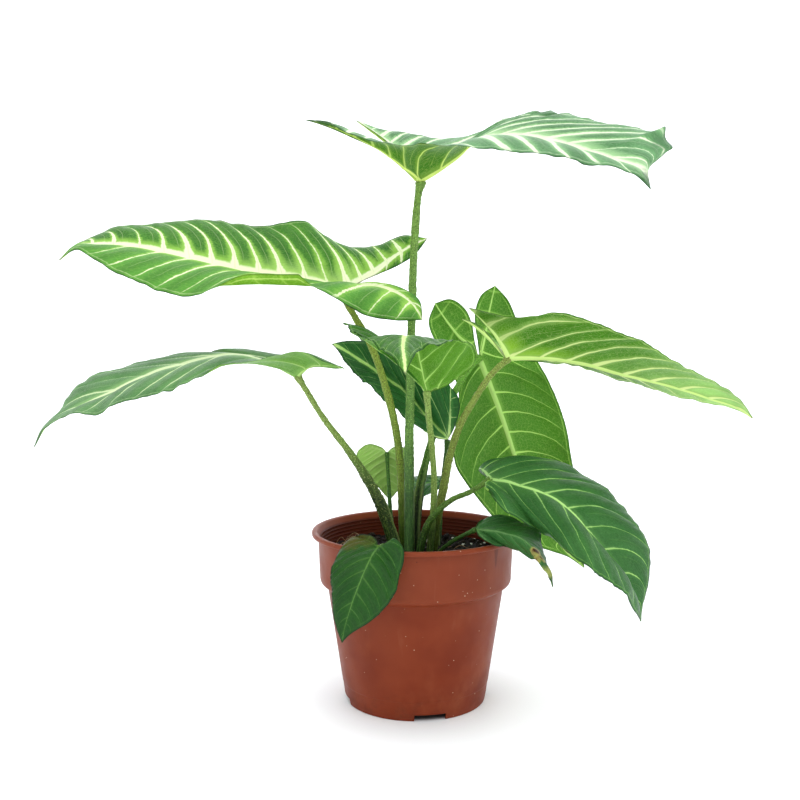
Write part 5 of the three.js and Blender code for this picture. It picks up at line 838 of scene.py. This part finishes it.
def make_pot():
    lip = POT_HEIGHT - LIP_HEIGHT
    pr, rd = [], []

    def pt(r_, z, k=0.0):
        pr.append((r_, z))
        rd.append(k)

    pt(0.0, FLOOR_UNDERSIDE_Z)
    pt(FOOT_RING_INNER_RADIUS, FLOOR_UNDERSIDE_Z, 0.8)
    pt(FOOT_RING_INNER_RADIUS, 0.0, 0.5)
    pt(BASE_RADIUS, 0.0, 0.7)
    pt(BASE_RADIUS + 0.75, 5.0, 0.4)
    pt(BASE_RADIUS + 0.95, 12.6, 0.3)
    pt(BASE_RADIUS + 1.25, 13.2, 0.3)
    def body(z):
        return BASE_RADIUS + 0.2 + (BODY_TOP_RADIUS - BASE_RADIUS - 0.2) * z / BODY_TOP_Z
    pr[-3] = (body(5.0), 5.0)
    pr[-2] = (body(12.6) - 0.15, 12.6)
    pr[-1] = (body(13.4) + 0.05, 13.4)
    pt(body(40), 40, 0)
    pt(BODY_TOP_RADIUS, BODY_TOP_Z, 0.8)
    pt(BAND_BOTTOM_RADIUS - 0.6, BAND_BOTTOM_Z - 0.7, 1.0)
    pt(BAND_BOTTOM_RADIUS, BAND_BOTTOM_Z + 1.2, 0.8)
    pt(BAND_TOP_RADIUS, lip, 0.7)
    pt(RIM_RADIUS, lip + 0.1, 1.2)
    pt(RIM_RADIUS, POT_HEIGHT, 1.5)
    pt(LIP_INNER_RADIUS, POT_HEIGHT - 0.2, 1.3)
    inner = BAND_TOP_RADIUS - WALL
    pt(inner + 0.5, POT_HEIGHT - 3.4, 0.5)
    # fine moulded rings inside the mouth
    z = POT_HEIGHT - 4.4
    for k in range(5):
        r0 = inner + 0.15 - (POT_HEIGHT - z) * 0.035
        pt(r0, z, 0.2)
        pt(r0 - 0.3, z - 0.35, 0.15)
        pt(r0 - 0.3, z - 0.7, 0.15)
        pt(r0 - 0.02, z - 1.05, 0.2)
        z -= 2.5
    pt(BAND_BOTTOM_RADIUS - WALL, BAND_BOTTOM_Z + 1.6, 0.8)
    pt(BODY_TOP_RADIUS - WALL, BODY_TOP_Z, 0.8)
    pt(BASE_RADIUS + 1 - WALL, FLOOR_TOP_Z, 1.0)
    pt(0.0, FLOOR_TOP_Z)
    prof = rounded(pr, rd)
    angles = [2 * math.pi * k / 240 for k in range(240)]
    V, F = lathe(prof, angles)
    me = bpy.data.meshes.new("pot_body")
    me.from_pydata([(x * MM, y * MM, zz * MM) for x, y, zz in V], [], F)
    bm = bmesh.new()
    bm.from_mesh(me)
    bmesh.ops.remove_doubles(bm, verts=bm.verts, dist=1e-6)
    bmesh.ops.recalc_face_normals(bm, faces=bm.faces)
    bm.to_mesh(me)
    bm.free()
    ob = bpy.data.objects.new("pot_body", me)
    bpy.context.scene.collection.objects.link(ob)
    # notches and drain holes
    cut = bmesh.new()
    for az in NOTCH_AZIMUTHS:
        a = math.radians(az)
        rot = Matrix.Rotation(a, 4, "Z")
        bmesh.ops.create_cube(cut, size=1.0, matrix=rot @ Matrix.Translation(((BASE_RADIUS - 1) * MM, 0, 0)) @ Matrix.Diagonal((12 * MM, NOTCH_WIDTH * MM, NOTCH_HEIGHT * 2 * MM, 1)))
        bmesh.ops.create_cone(cut, cap_ends=True, segments=40, radius1=DRAIN_HOLE_RADIUS * MM, radius2=DRAIN_HOLE_RADIUS * MM, depth=8 * MM,
                              matrix=rot @ Matrix.Translation((DRAIN_HOLE_RING * MM, 0, (FLOOR_TOP_Z - 1) * MM)))
    cm = bpy.data.meshes.new("cutters")
    cut.to_mesh(cm)
    cut.free()
    co = bpy.data.objects.new("cutters", cm)
    bpy.context.scene.collection.objects.link(co)
    m = ob.modifiers.new("cut", "BOOLEAN")
    m.operation = "DIFFERENCE"
    m.solver = "EXACT"
    m.object = co
    bpy.context.view_layer.update()
    dg = bpy.context.evaluated_depsgraph_get()
    new = bpy.data.meshes.new_from_object(ob.evaluated_get(dg))
    ob.modifiers.clear()
    ob.data = new
    bpy.data.objects.remove(co)
    ob.data.transform(Matrix.Translation(Vector(AXIS)))
    shade(ob, 40)
    return ob


def shade(ob, degrees):
    me = ob.data
    me.polygons.foreach_set("use_smooth", [True] * len(me.polygons))
    bm = bmesh.new()
    bm.from_mesh(me)
    lim = math.radians(degrees)
    for e in bm.edges:
        e.smooth = not (len(e.link_faces) == 2 and e.calc_face_angle(0) > lim)
    bm.to_mesh(me)
    bm.free()


def pot_material():
    s = Nodes("pot_plastic_look")
    obj = s.coords("Object")
    n = s.nt.nodes.new("ShaderNodeVectorMath")
    n.operation = "SUBTRACT"
    s.put(n.inputs[0], obj)
    n.inputs[1].default_value = tuple(AXIS)
    sep = s.nt.nodes.new("ShaderNodeSeparateXYZ")
    s.nt.links.new(n.outputs[0], sep.inputs[0])
    x, y, z = sep.outputs
    rad = s.math("SQRT", s.math("ADD", s.math("MULTIPLY", x, x), s.math("MULTIPLY", y, y)))
    big = s.noise(obj, 24, 3, 0.55)
    fine = s.noise(obj, 1300, 3, 0.6)
    col = s.mix(s.ramp(big, 0.3, 0.7), tone((134, 60, 36)), tone((117, 47, 26)))
    # upper collar a little paler than the body
    col = s.mix(s.ramp(z, 0.078, 0.083, 0.0, 0.4), col, tone((144, 74, 50)))
    # handling haze, dust and dry splash marks
    haze = s.noise(s.mapping(obj, (40, 40, 26)), 1.0, 4, 0.6)
    col = s.mix(s.ramp(haze, 0.5, 0.8, 0.0, 0.35), col, tone((156, 86, 58)))
    streak = s.noise(s.mapping(obj, (170, 170, 14)), 1.0, 3, 0.6)
    col = s.mix(s.ramp(streak, 0.6, 0.8, 0.0, 0.10), col, tone((180, 118, 92)))
    low = s.math("MULTIPLY", s.ramp(z, 0.03, 0.0), s.ramp(s.noise(obj, 120, 4, 0.7), 0.45, 0.7))
    col = s.mix(s.math("MULTIPLY", low, 0.45), col, tone((96, 48, 34)))
    speck = s.voronoi(obj, 250)
    gate = s.noise(obj, 95, 1)
    col = s.mix(s.math("MULTIPLY", s.ramp(speck, 0.06, 0.12, 0.8, 0.0), s.ramp(gate, 0.56, 0.62)), col, tone((214, 176, 150)))
    speck2 = s.voronoi(s.mapping(obj, loc=(0.31, 0.17, 0.05)), 170)
    col = s.mix(s.math("MULTIPLY", s.ramp(speck2, 0.05, 0.09, 0.7, 0.0), s.ramp(gate, 0.4, 0.34)), col, tone((62, 34, 28)))
    # a dark mark below the rim on one side, narrowing downwards
    ang = s.math("ARCTAN2", x, s.math("MULTIPLY", y, -1.0))
    band_dark_mark = s.math("MULTIPLY", s.ramp(s.math("ABSOLUTE", s.math("SUBTRACT", ang, 0.89)), s.ramp(z, 0.098, 0.112, 0.0, 0.028, smooth=False), s.ramp(z, 0.098, 0.112, 0.008, 0.045, smooth=False), 1.0, 0.0),
                 s.math("MULTIPLY", s.ramp(z, 0.098, 0.101), s.ramp(rad, 0.0640, 0.0646)))
    col = s.mix(s.math("MULTIPLY", band_dark_mark, 0.55), col, tone((84, 40, 28)))
    # inside of the mouth painted dark: painted shade on the inner wall above the soil
    mouth_shade = s.math("MULTIPLY", s.ramp(rad, 0.0668, 0.0652), s.ramp(z, 0.0836, 0.0842))
    inner_wall_shade_mask = s.ramp(s.math("SUBTRACT", rad, s.ramp(z, 0.082, 0.1124, 0.0632, 0.0645, smooth=False)), 0.0006, -0.0002)
    col = s.mix(s.math("MULTIPLY", s.math("MULTIPLY", mouth_shade, inner_wall_shade_mask), 0.62), col, tone((58, 26, 16)))
    rough = s.ramp(s.noise(obj, 60, 4, 0.6), 0.3, 0.7, 0.4, 0.52)
    h = s.math("ADD", s.math("MULTIPLY", fine, 0.3), s.math("MULTIPLY", streak, 0.3))
    return s.done(col, rough, s.bump(h, 0.2, 0.0003), spec=0.18)


# ---------------------------------------------------------------- soil

def make_soil():
    R = 62.2
    nr, na = 74, 220
    wallr = lambda z: BAND_BOTTOM_RADIUS + (BAND_TOP_RADIUS - BAND_BOTTOM_RADIUS) * (z - BAND_BOTTOM_Z) / 30 - WALL
    V, F = [], []

    def height(x, y):
        r_ = math.hypot(x, y)
        v = Vector((x * 0.09, y * 0.09, 1.7))
        h = 1.9 * noise.noise(v) + 1.3 * noise.noise(v * 2.7) + 0.9 * noise.noise(v * 6.1) + 0.5 * noise.noise(v * 13.0) + 0.3 * noise.noise(v * 27.0)
        h += 2.2 * math.exp(-(r_ / 17) ** 2)
        h -= 1.0 * max(0.0, (r_ - 56) / 6)
        return h

    V.append((0, 0, SOIL_Z + height(0, 0)))
    for i in range(1, nr + 1):
        r_ = R * (i / nr) ** 0.9
        for j in range(na):
            a = 2 * math.pi * j / na
            x, y = r_ * math.cos(a), r_ * math.sin(a)
            V.append((x, y, SOIL_Z - 0.6 + height(x, y)))
    for j in range(na):
        F.append([0, 1 + j, 1 + (j + 1) % na])
    for i in range(nr - 1):
        for j in range(na):
            a, b = 1 + i * na + j, 1 + i * na + (j + 1) % na
            F.append([a, a + na, b + na, b])
    top = 1 + (nr - 1) * na
    prev = top
    for z, r_ in ((90, 61.6), (BAND_BOTTOM_Z + 1.5, 61.0), (BODY_TOP_Z - 1, 57.4), (40, 51.5), (FLOOR_TOP_Z + 1, 46.2)):
        base = len(V)
        for j in range(na):
            a = 2 * math.pi * j / na
            V.append((r_ * math.cos(a), r_ * math.sin(a), z))
        for j in range(na):
            k = (j + 1) % na
            F.append([prev + j, base + j, base + k, prev + k])
        prev = base
    F.append([prev + j for j in range(na)][::-1])
    me = bpy.data.meshes.new("potting_mix")
    me.from_pydata([tuple(np.array(v) * MM + AXIS) for v in V], [], F)
    me.validate()
    me.polygons.foreach_set("use_smooth", [True] * len(me.polygons))
    ob = bpy.data.objects.new("potting_mix", me)
    bpy.context.scene.collection.objects.link(ob)
    return ob, height


def soil_material(name, dark, light, wet=0.5):
    s = Nodes(name)
    obj = s.coords("Object")
    n1 = s.noise(obj, 160, 5, 0.7)
    n2 = s.noise(obj, 800, 4, 0.7)
    v = s.voronoi(obj, 420)
    col = s.mix(s.ramp(n1, 0.35, 0.7), lin(dark), lin(light))
    col = s.mix(s.ramp(n2, 0.55, 0.75, 0.0, 0.5), col, lin([min(255, c_ * 1.5 + 12) for c_ in light]))
    rough = s.ramp(n2, 0.35, 0.65, 0.55, 0.95)
    h = s.math("ADD", s.math("MULTIPLY", n2, 0.8), s.math("MULTIPLY", v, 0.8))
    return s.done(col, rough, s.bump(h, 0.8, 0.0012), spec=0.12)


def grains(name, places, sizes, seed, squash=0.75, sub=2):
    """Irregular grains merged into one mesh."""
    r = random.Random(seed)
    out = bmesh.new()
    for (x, y, z), size in zip(places, sizes):
        b = bmesh.new()
        bmesh.ops.create_icosphere(b, subdivisions=sub, radius=1.0)
        off = Vector((r.uniform(0, 50), r.uniform(0, 50), r.uniform(0, 50)))
        sc = Vector((r.uniform(0.75, 1.25), r.uniform(0.75, 1.25), r.uniform(0.55, 0.95) * squash / 0.75))
        rot = Matrix.Rotation(r.uniform(0, 6.28), 3, "Z") @ Matrix.Rotation(r.uniform(-0.7, 0.7), 3, "X")
        for v in b.verts:
            k = 1 + 0.42 * noise.noise(v.co * 1.5 + off) + 0.18 * noise.noise(v.co * 4 + off)
            q = Vector((v.co.x * sc.x, v.co.y * sc.y, v.co.z * sc.z)) * k * size
            q = rot @ q
            v.co = Vector(((x + q.x) * MM + AXIS[0], (y + q.y) * MM + AXIS[1], (z + q.z) * MM))
        tmp = bpy.data.meshes.new("tmp")
        b.to_mesh(tmp)
        b.free()
        out.from_mesh(tmp)
        bpy.data.meshes.remove(tmp)
    me = bpy.data.meshes.new(name)
    out.to_mesh(me)
    out.free()
    me.polygons.foreach_set("use_smooth", [sub > 1] * len(me.polygons))
    ob = bpy.data.objects.new(name, me)
    bpy.context.scene.collection.objects.link(ob)
    return ob


def strand(path, radius, sides=6):
    """A thin closed tube along a list of points (mm)."""
    V, F = [], []
    P = np.array(path, float)
    n = len(P)
    side = np.array([0.3, 0.1, 1.0])
    for i in range(n):
        tg = P[min(i + 1, n - 1)] - P[max(i - 1, 0)]
        tg /= np.linalg.norm(tg)
        side = side - tg * side.dot(tg)
        side /= np.linalg.norm(side)
        upv = np.cross(tg, side)
        rr = radius * (1 - 0.6 * i / (n - 1))
        for j in range(sides):
            a = 2 * math.pi * j / sides
            V.append(P[i] + side * rr * math.cos(a) + upv * rr * math.sin(a))
    for i in range(n - 1):
        for j in range(sides):
            a, b = i * sides + j, i * sides + (j + 1) % sides
            F.append([a, b, b + sides, a + sides])
    F.append(list(range(sides))[::-1])
    F.append([(n - 1) * sides + j for j in range(sides)])
    return V, F


# ---------------------------------------------------------------- build

def put(ob, slot, mat, *nodes):
    ob.data.materials.clear()
    ob.data.materials.append(mat)
    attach(ob, "root")
    if nodes:
        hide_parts(*nodes)
    return ob


for k, (name, spec) in enumerate(BLADES.items()):
    ob = make_leaf(name, spec, 100 + k)
    put(ob, "leaf_green", leaf_material(name + "_look", LEAF_COLOURS[name]), name)

STALKS = {
    "petiole_top": ((122, 158, 72), (104, 144, 70), (64, 98, 54), (60, 84, 44), 0.45, 0.3),
    "petiole_upper_left": ((140, 160, 64), (120, 148, 58), (66, 92, 30), (92, 88, 38), 0.36, 0.25),
    "petiole_lower_left": ((146, 170, 90), (104, 136, 58), (30, 50, 18), (82, 92, 42), 0.45, 0.55),
    "petiole_center_front": ((144, 176, 90), (128, 158, 78), (60, 84, 40), (92, 104, 50), 0.3, 0.25),
    "petiole_center_back": ((60, 100, 40), (54, 88, 38), (36, 60, 28), (52, 60, 30), 0.35, 0.4),
    "petiole_right_long": ((138, 160, 76), (126, 146, 66), (58, 78, 30), (96, 90, 42), 0.36, 0.25),
    # painted light: the upper colour is lighter than the stalk's own green, to offset the shade it stands in
    "petiole_right_hanging": ((124, 186, 70), (84, 130, 50), (34, 56, 26), (74, 104, 42), 0.55, 0.4),
    "petiole_right_front": ((104, 140, 60), (84, 120, 50), (36, 60, 28), (66, 80, 38), 0.45, 0.45),
    "petiole_rim_right": ((70, 108, 48), (58, 92, 40), (34, 58, 28), (48, 62, 32), 0.3, 0.3),
    "petiole_rim_front_left": ((90, 126, 52), (74, 108, 46), (38, 60, 30), (58, 68, 36), 0.3, 0.3),
    "petiole_small_back_left": ((80, 124, 52), (66, 108, 46), (38, 62, 30), (56, 76, 38), 0.3, 0.3),
    "petiole_small_back": ((70, 108, 48), (58, 92, 40), (36, 60, 30), (48, 62, 34), 0.3, 0.3),
}
for name, rows in PETIOLES.items():
    top, mid_, base, speck, sheath, dark = STALKS[name]
    tip = BLADES[name.replace("petiole_", "leaf_")]["midrib"][-1]
    ob = make_petiole(name, rows, tip, sheath)
    put(ob, "petiole_green", petiole_material(name + "_look", top, mid_, base, speck, dark), name)

put(make_pot(), "pot_plastic", pot_material(), "pot")

soil, soil_height = make_soil()
put(soil, "potting_soil", soil_material("potting_soil_look", (10, 8, 7), (30, 22, 17)), "soil")

bases = [(rows[0][0], rows[0][1], rows[0][3]) for rows in PETIOLES.values()]


def on_soil(count, seed, rmin, rmax, clear=1.5):
    r = random.Random(seed)
    out = []
    while len(out) < count:
        rad = math.sqrt(r.uniform((rmin / 62) ** 2, (rmax / 62) ** 2)) * 62
        a = r.uniform(0, 2 * math.pi)
        x, y = rad * math.cos(a), rad * math.sin(a)
        if any(math.hypot(x - bx, y - by) < br + clear for bx, by, br in bases):
            continue
        out.append((x, y, SOIL_Z - 0.6 + soil_height(x, y)))
    return out


p = on_soil(420, 3, 8, 60.5)
r1 = random.Random(4)
sz = [r1.choice((0.7, 0.9, 1.1, 1.4, 1.9, 2.4)) * r1.uniform(0.8, 1.15) for _ in p]
put(grains("soil_crumbs", [(x, y, z + 0.15 * s_) for (x, y, z), s_ in zip(p, sz)], sz, 5, 0.8, 2), "potting_soil",
    soil_material("soil_crumb_look", (14, 11, 9), (44, 32, 24)))
p = on_soil(64, 9, 12, 59, 2.0)
sz = [r1.uniform(0.45, 1.25) for _ in p]
s = Nodes("perlite_look")
oc = s.coords("Object")
pn = s.noise(oc, 1500, 4, 0.7)
pc = s.mix(s.ramp(pn, 0.3, 0.7), lin((236, 236, 230)), lin((198, 196, 186)))
put(grains("perlite_grains", [(x, y, z + 0.5 * s_) for (x, y, z), s_ in zip(p, sz)], sz, 11, 0.9, 2), "potting_soil",
    s.done(pc, s.ramp(pn, 0.3, 0.7, 0.6, 0.9), s.bump(pn, 0.6, 0.0004), spec=0.3))
# root hairs on the soil by the left wall
V, F = [], []
rr = random.Random(21)
for k in range(16):
    a = rr.uniform(2.2, 4.6) if k % 2 else rr.uniform(0, 6.28)
    r0 = rr.uniform(20, 44)
    x, y = r0 * math.cos(a), r0 * math.sin(a)
    h = rr.uniform(0, 6.28)
    path = []
    for i in range(14):
        path.append((x, y, SOIL_Z - 0.2 + soil_height(x, y) + 0.5 + 0.6 * math.sin(i * 0.5 + k)))
        h += rr.uniform(-0.35, 0.35)
        x += 1.6 * math.cos(h)
        y += 1.6 * math.sin(h)
        if math.hypot(x, y) > 60:
            h += 2.6
            x += 3.2 * math.cos(h)
            y += 3.2 * math.sin(h)
    v, f = strand(path, rr.uniform(0.16, 0.3))
    base = len(V)
    V += v
    F += [[q + base for q in g] for g in f]
for k in range(11):
    a = math.radians(rr.uniform(148, 180))
    r0 = rr.uniform(50, 60)
    x, y = r0 * math.cos(a), r0 * math.sin(a)
    h = math.radians(rr.uniform(-50, 10))
    top_ = rr.uniform(3.5, 9.0)
    span_ = rr.uniform(11, 22)
    path = []
    for i in range(15):
        u = i / 14
        px, py = x + span_ * u * math.cos(h) + 1.6 * math.sin(u * 5 + k), y + span_ * u * math.sin(h) + 1.2 * math.cos(u * 4 + k)
        path.append((px, py, SOIL_Z - 0.6 + soil_height(px, py) + 0.2 + top_ * math.sin(math.pi * min(1, u * 1.03)) ** 0.8))
    v, f = strand(path, rr.uniform(0.18, 0.28))
    base = len(V)
    V += v
    F += [[q + base for q in g] for g in f]
me = bpy.data.meshes.new("root_hairs")
me.from_pydata([tuple(np.array(v) * MM + AXIS) for v in V], [], F)
me.polygons.foreach_set("use_smooth", [True] * len(me.polygons))
ob = bpy.data.objects.new("root_hairs", me)
bpy.context.scene.collection.objects.link(ob)
s = Nodes("root_hair_look")
rn = s.noise(s.coords("Object"), 900, 3, 0.6)
put(ob, "potting_soil", s.done(s.mix(s.ramp(rn, 0.3, 0.7), lin((168, 138, 100)), lin((120, 92, 62))), 0.7, s.bump(rn, 0.4, 0.0003)))

# ---------------------------------------------------------------- stage, light, camera
me = bpy.data.meshes.new("floor")
S = 6.0
fv, ff = [], []
N_ = 24
prof = [(-4.0, 0.0)] + [(1.6 + 0.9 * math.sin(math.pi / 2 * k / N_), 0.9 - 0.9 * math.cos(math.pi / 2 * k / N_)) for k in range(N_ + 1)] + [(2.5, 5.0)]
for x in (-S, S):
    for y, z in prof:
        fv.append((x, y, z))
m_ = len(prof)
for k in range(m_ - 1):
    ff.append([k, k + m_, k + m_ + 1, k + 1])
me.from_pydata(fv, [], ff)
me.polygons.foreach_set("use_smooth", [True] * len(me.polygons))
floor = bpy.data.objects.new("floor", me)
bpy.context.scene.collection.objects.link(floor)
s = Nodes("studio_floor")
fn_ = s.noise(s.coords("Object"), 3.0, 2)
fd = s.nt.nodes.new("ShaderNodeVectorMath")
fd.operation = "DISTANCE"
s.put(fd.inputs[0], s.coords("Object"))
fd.inputs[1].default_value = (AXIS[0], AXIS[1], 0.0)
# painted light: the floor glows faintly, and the glow fades out towards the pot as a painted contact shadow
s.put(s.bsdf.inputs["Emission Strength"], s.ramp(fd.outputs["Value"], 0.044, 0.11, 0.0, 0.14))
fc_ = s.mix(s.ramp(fn_, 0.3, 0.7), lin((250, 251, 253)), lin((247, 249, 252)))
# painted shade: the floor under the pot's foot is painted grey
floor.data.materials.append(s.done(s.mix(s.ramp(fd.outputs["Value"], 0.0405, 0.0475, 1.0, 0.0), fc_, lin((96, 98, 100))), 0.7, spec=0.2, Emission_Color=(0.97, 0.985, 1.0, 1.0)))

world = bpy.data.worlds.new("studio")
bpy.context.scene.world = world
world.use_nodes = True
bg = world.node_tree.nodes["Background"]
bg.inputs[0].default_value = (0.97, 0.985, 1.0, 1)
bg.inputs[1].default_value = 1.0


def area(name, loc, target, size, power, colour=(1, 1, 1)):
    d = bpy.data.lights.new(name, "AREA")
    d.shape = "RECTANGLE"
    d.size, d.size_y = size
    d.energy = power
    d.color = colour
    o = bpy.data.objects.new(name, d)
    o.location = loc
    o.rotation_euler = (Vector(target) - Vector(loc)).to_track_quat("-Z", "Y").to_euler()
    bpy.context.scene.collection.objects.link(o)
    return o


area("key_softbox", (-0.45, -1.0, 1.5), (0, 0, 0.25), (1.6, 1.3), 8.5)
area("top_softbox", (0.1, 0.3, 1.7), (0, 0, 0.1), (2.2, 2.2), 9)
area("fill_right", (1.3, -0.7, 0.8), (0, 0, 0.2), (0.9, 1.1), 5)
area("back_wall_wash", (0, 0.9, 1.2), (0, 2.4, 0.6), (2.4, 1.2), 26)

cam = bpy.data.cameras.new("camera")
cam.sensor_fit = "HORIZONTAL"
cam.sensor_width = 36.0
cam.lens = FOCAL_PX / 800.0 * 36.0
cam.clip_start = 0.02
cam.clip_end = 50
co = bpy.data.objects.new("camera", cam)
co.location = (CAM[0] * MM + AXIS[0], CAM[1] * MM + AXIS[1], CAM[2] * MM)
co.rotation_euler = (math.radians(90 - CAM_PITCH), 0, 0)
bpy.context.scene.collection.objects.link(co)
bpy.context.scene.camera = co
bpy.context.scene.view_settings.view_transform = "Standard"
bpy.context.scene.view_settings.look = "None"
bpy.context.scene.view_settings.exposure = 0.0
bpy.context.scene.view_settings.gamma = 1.0
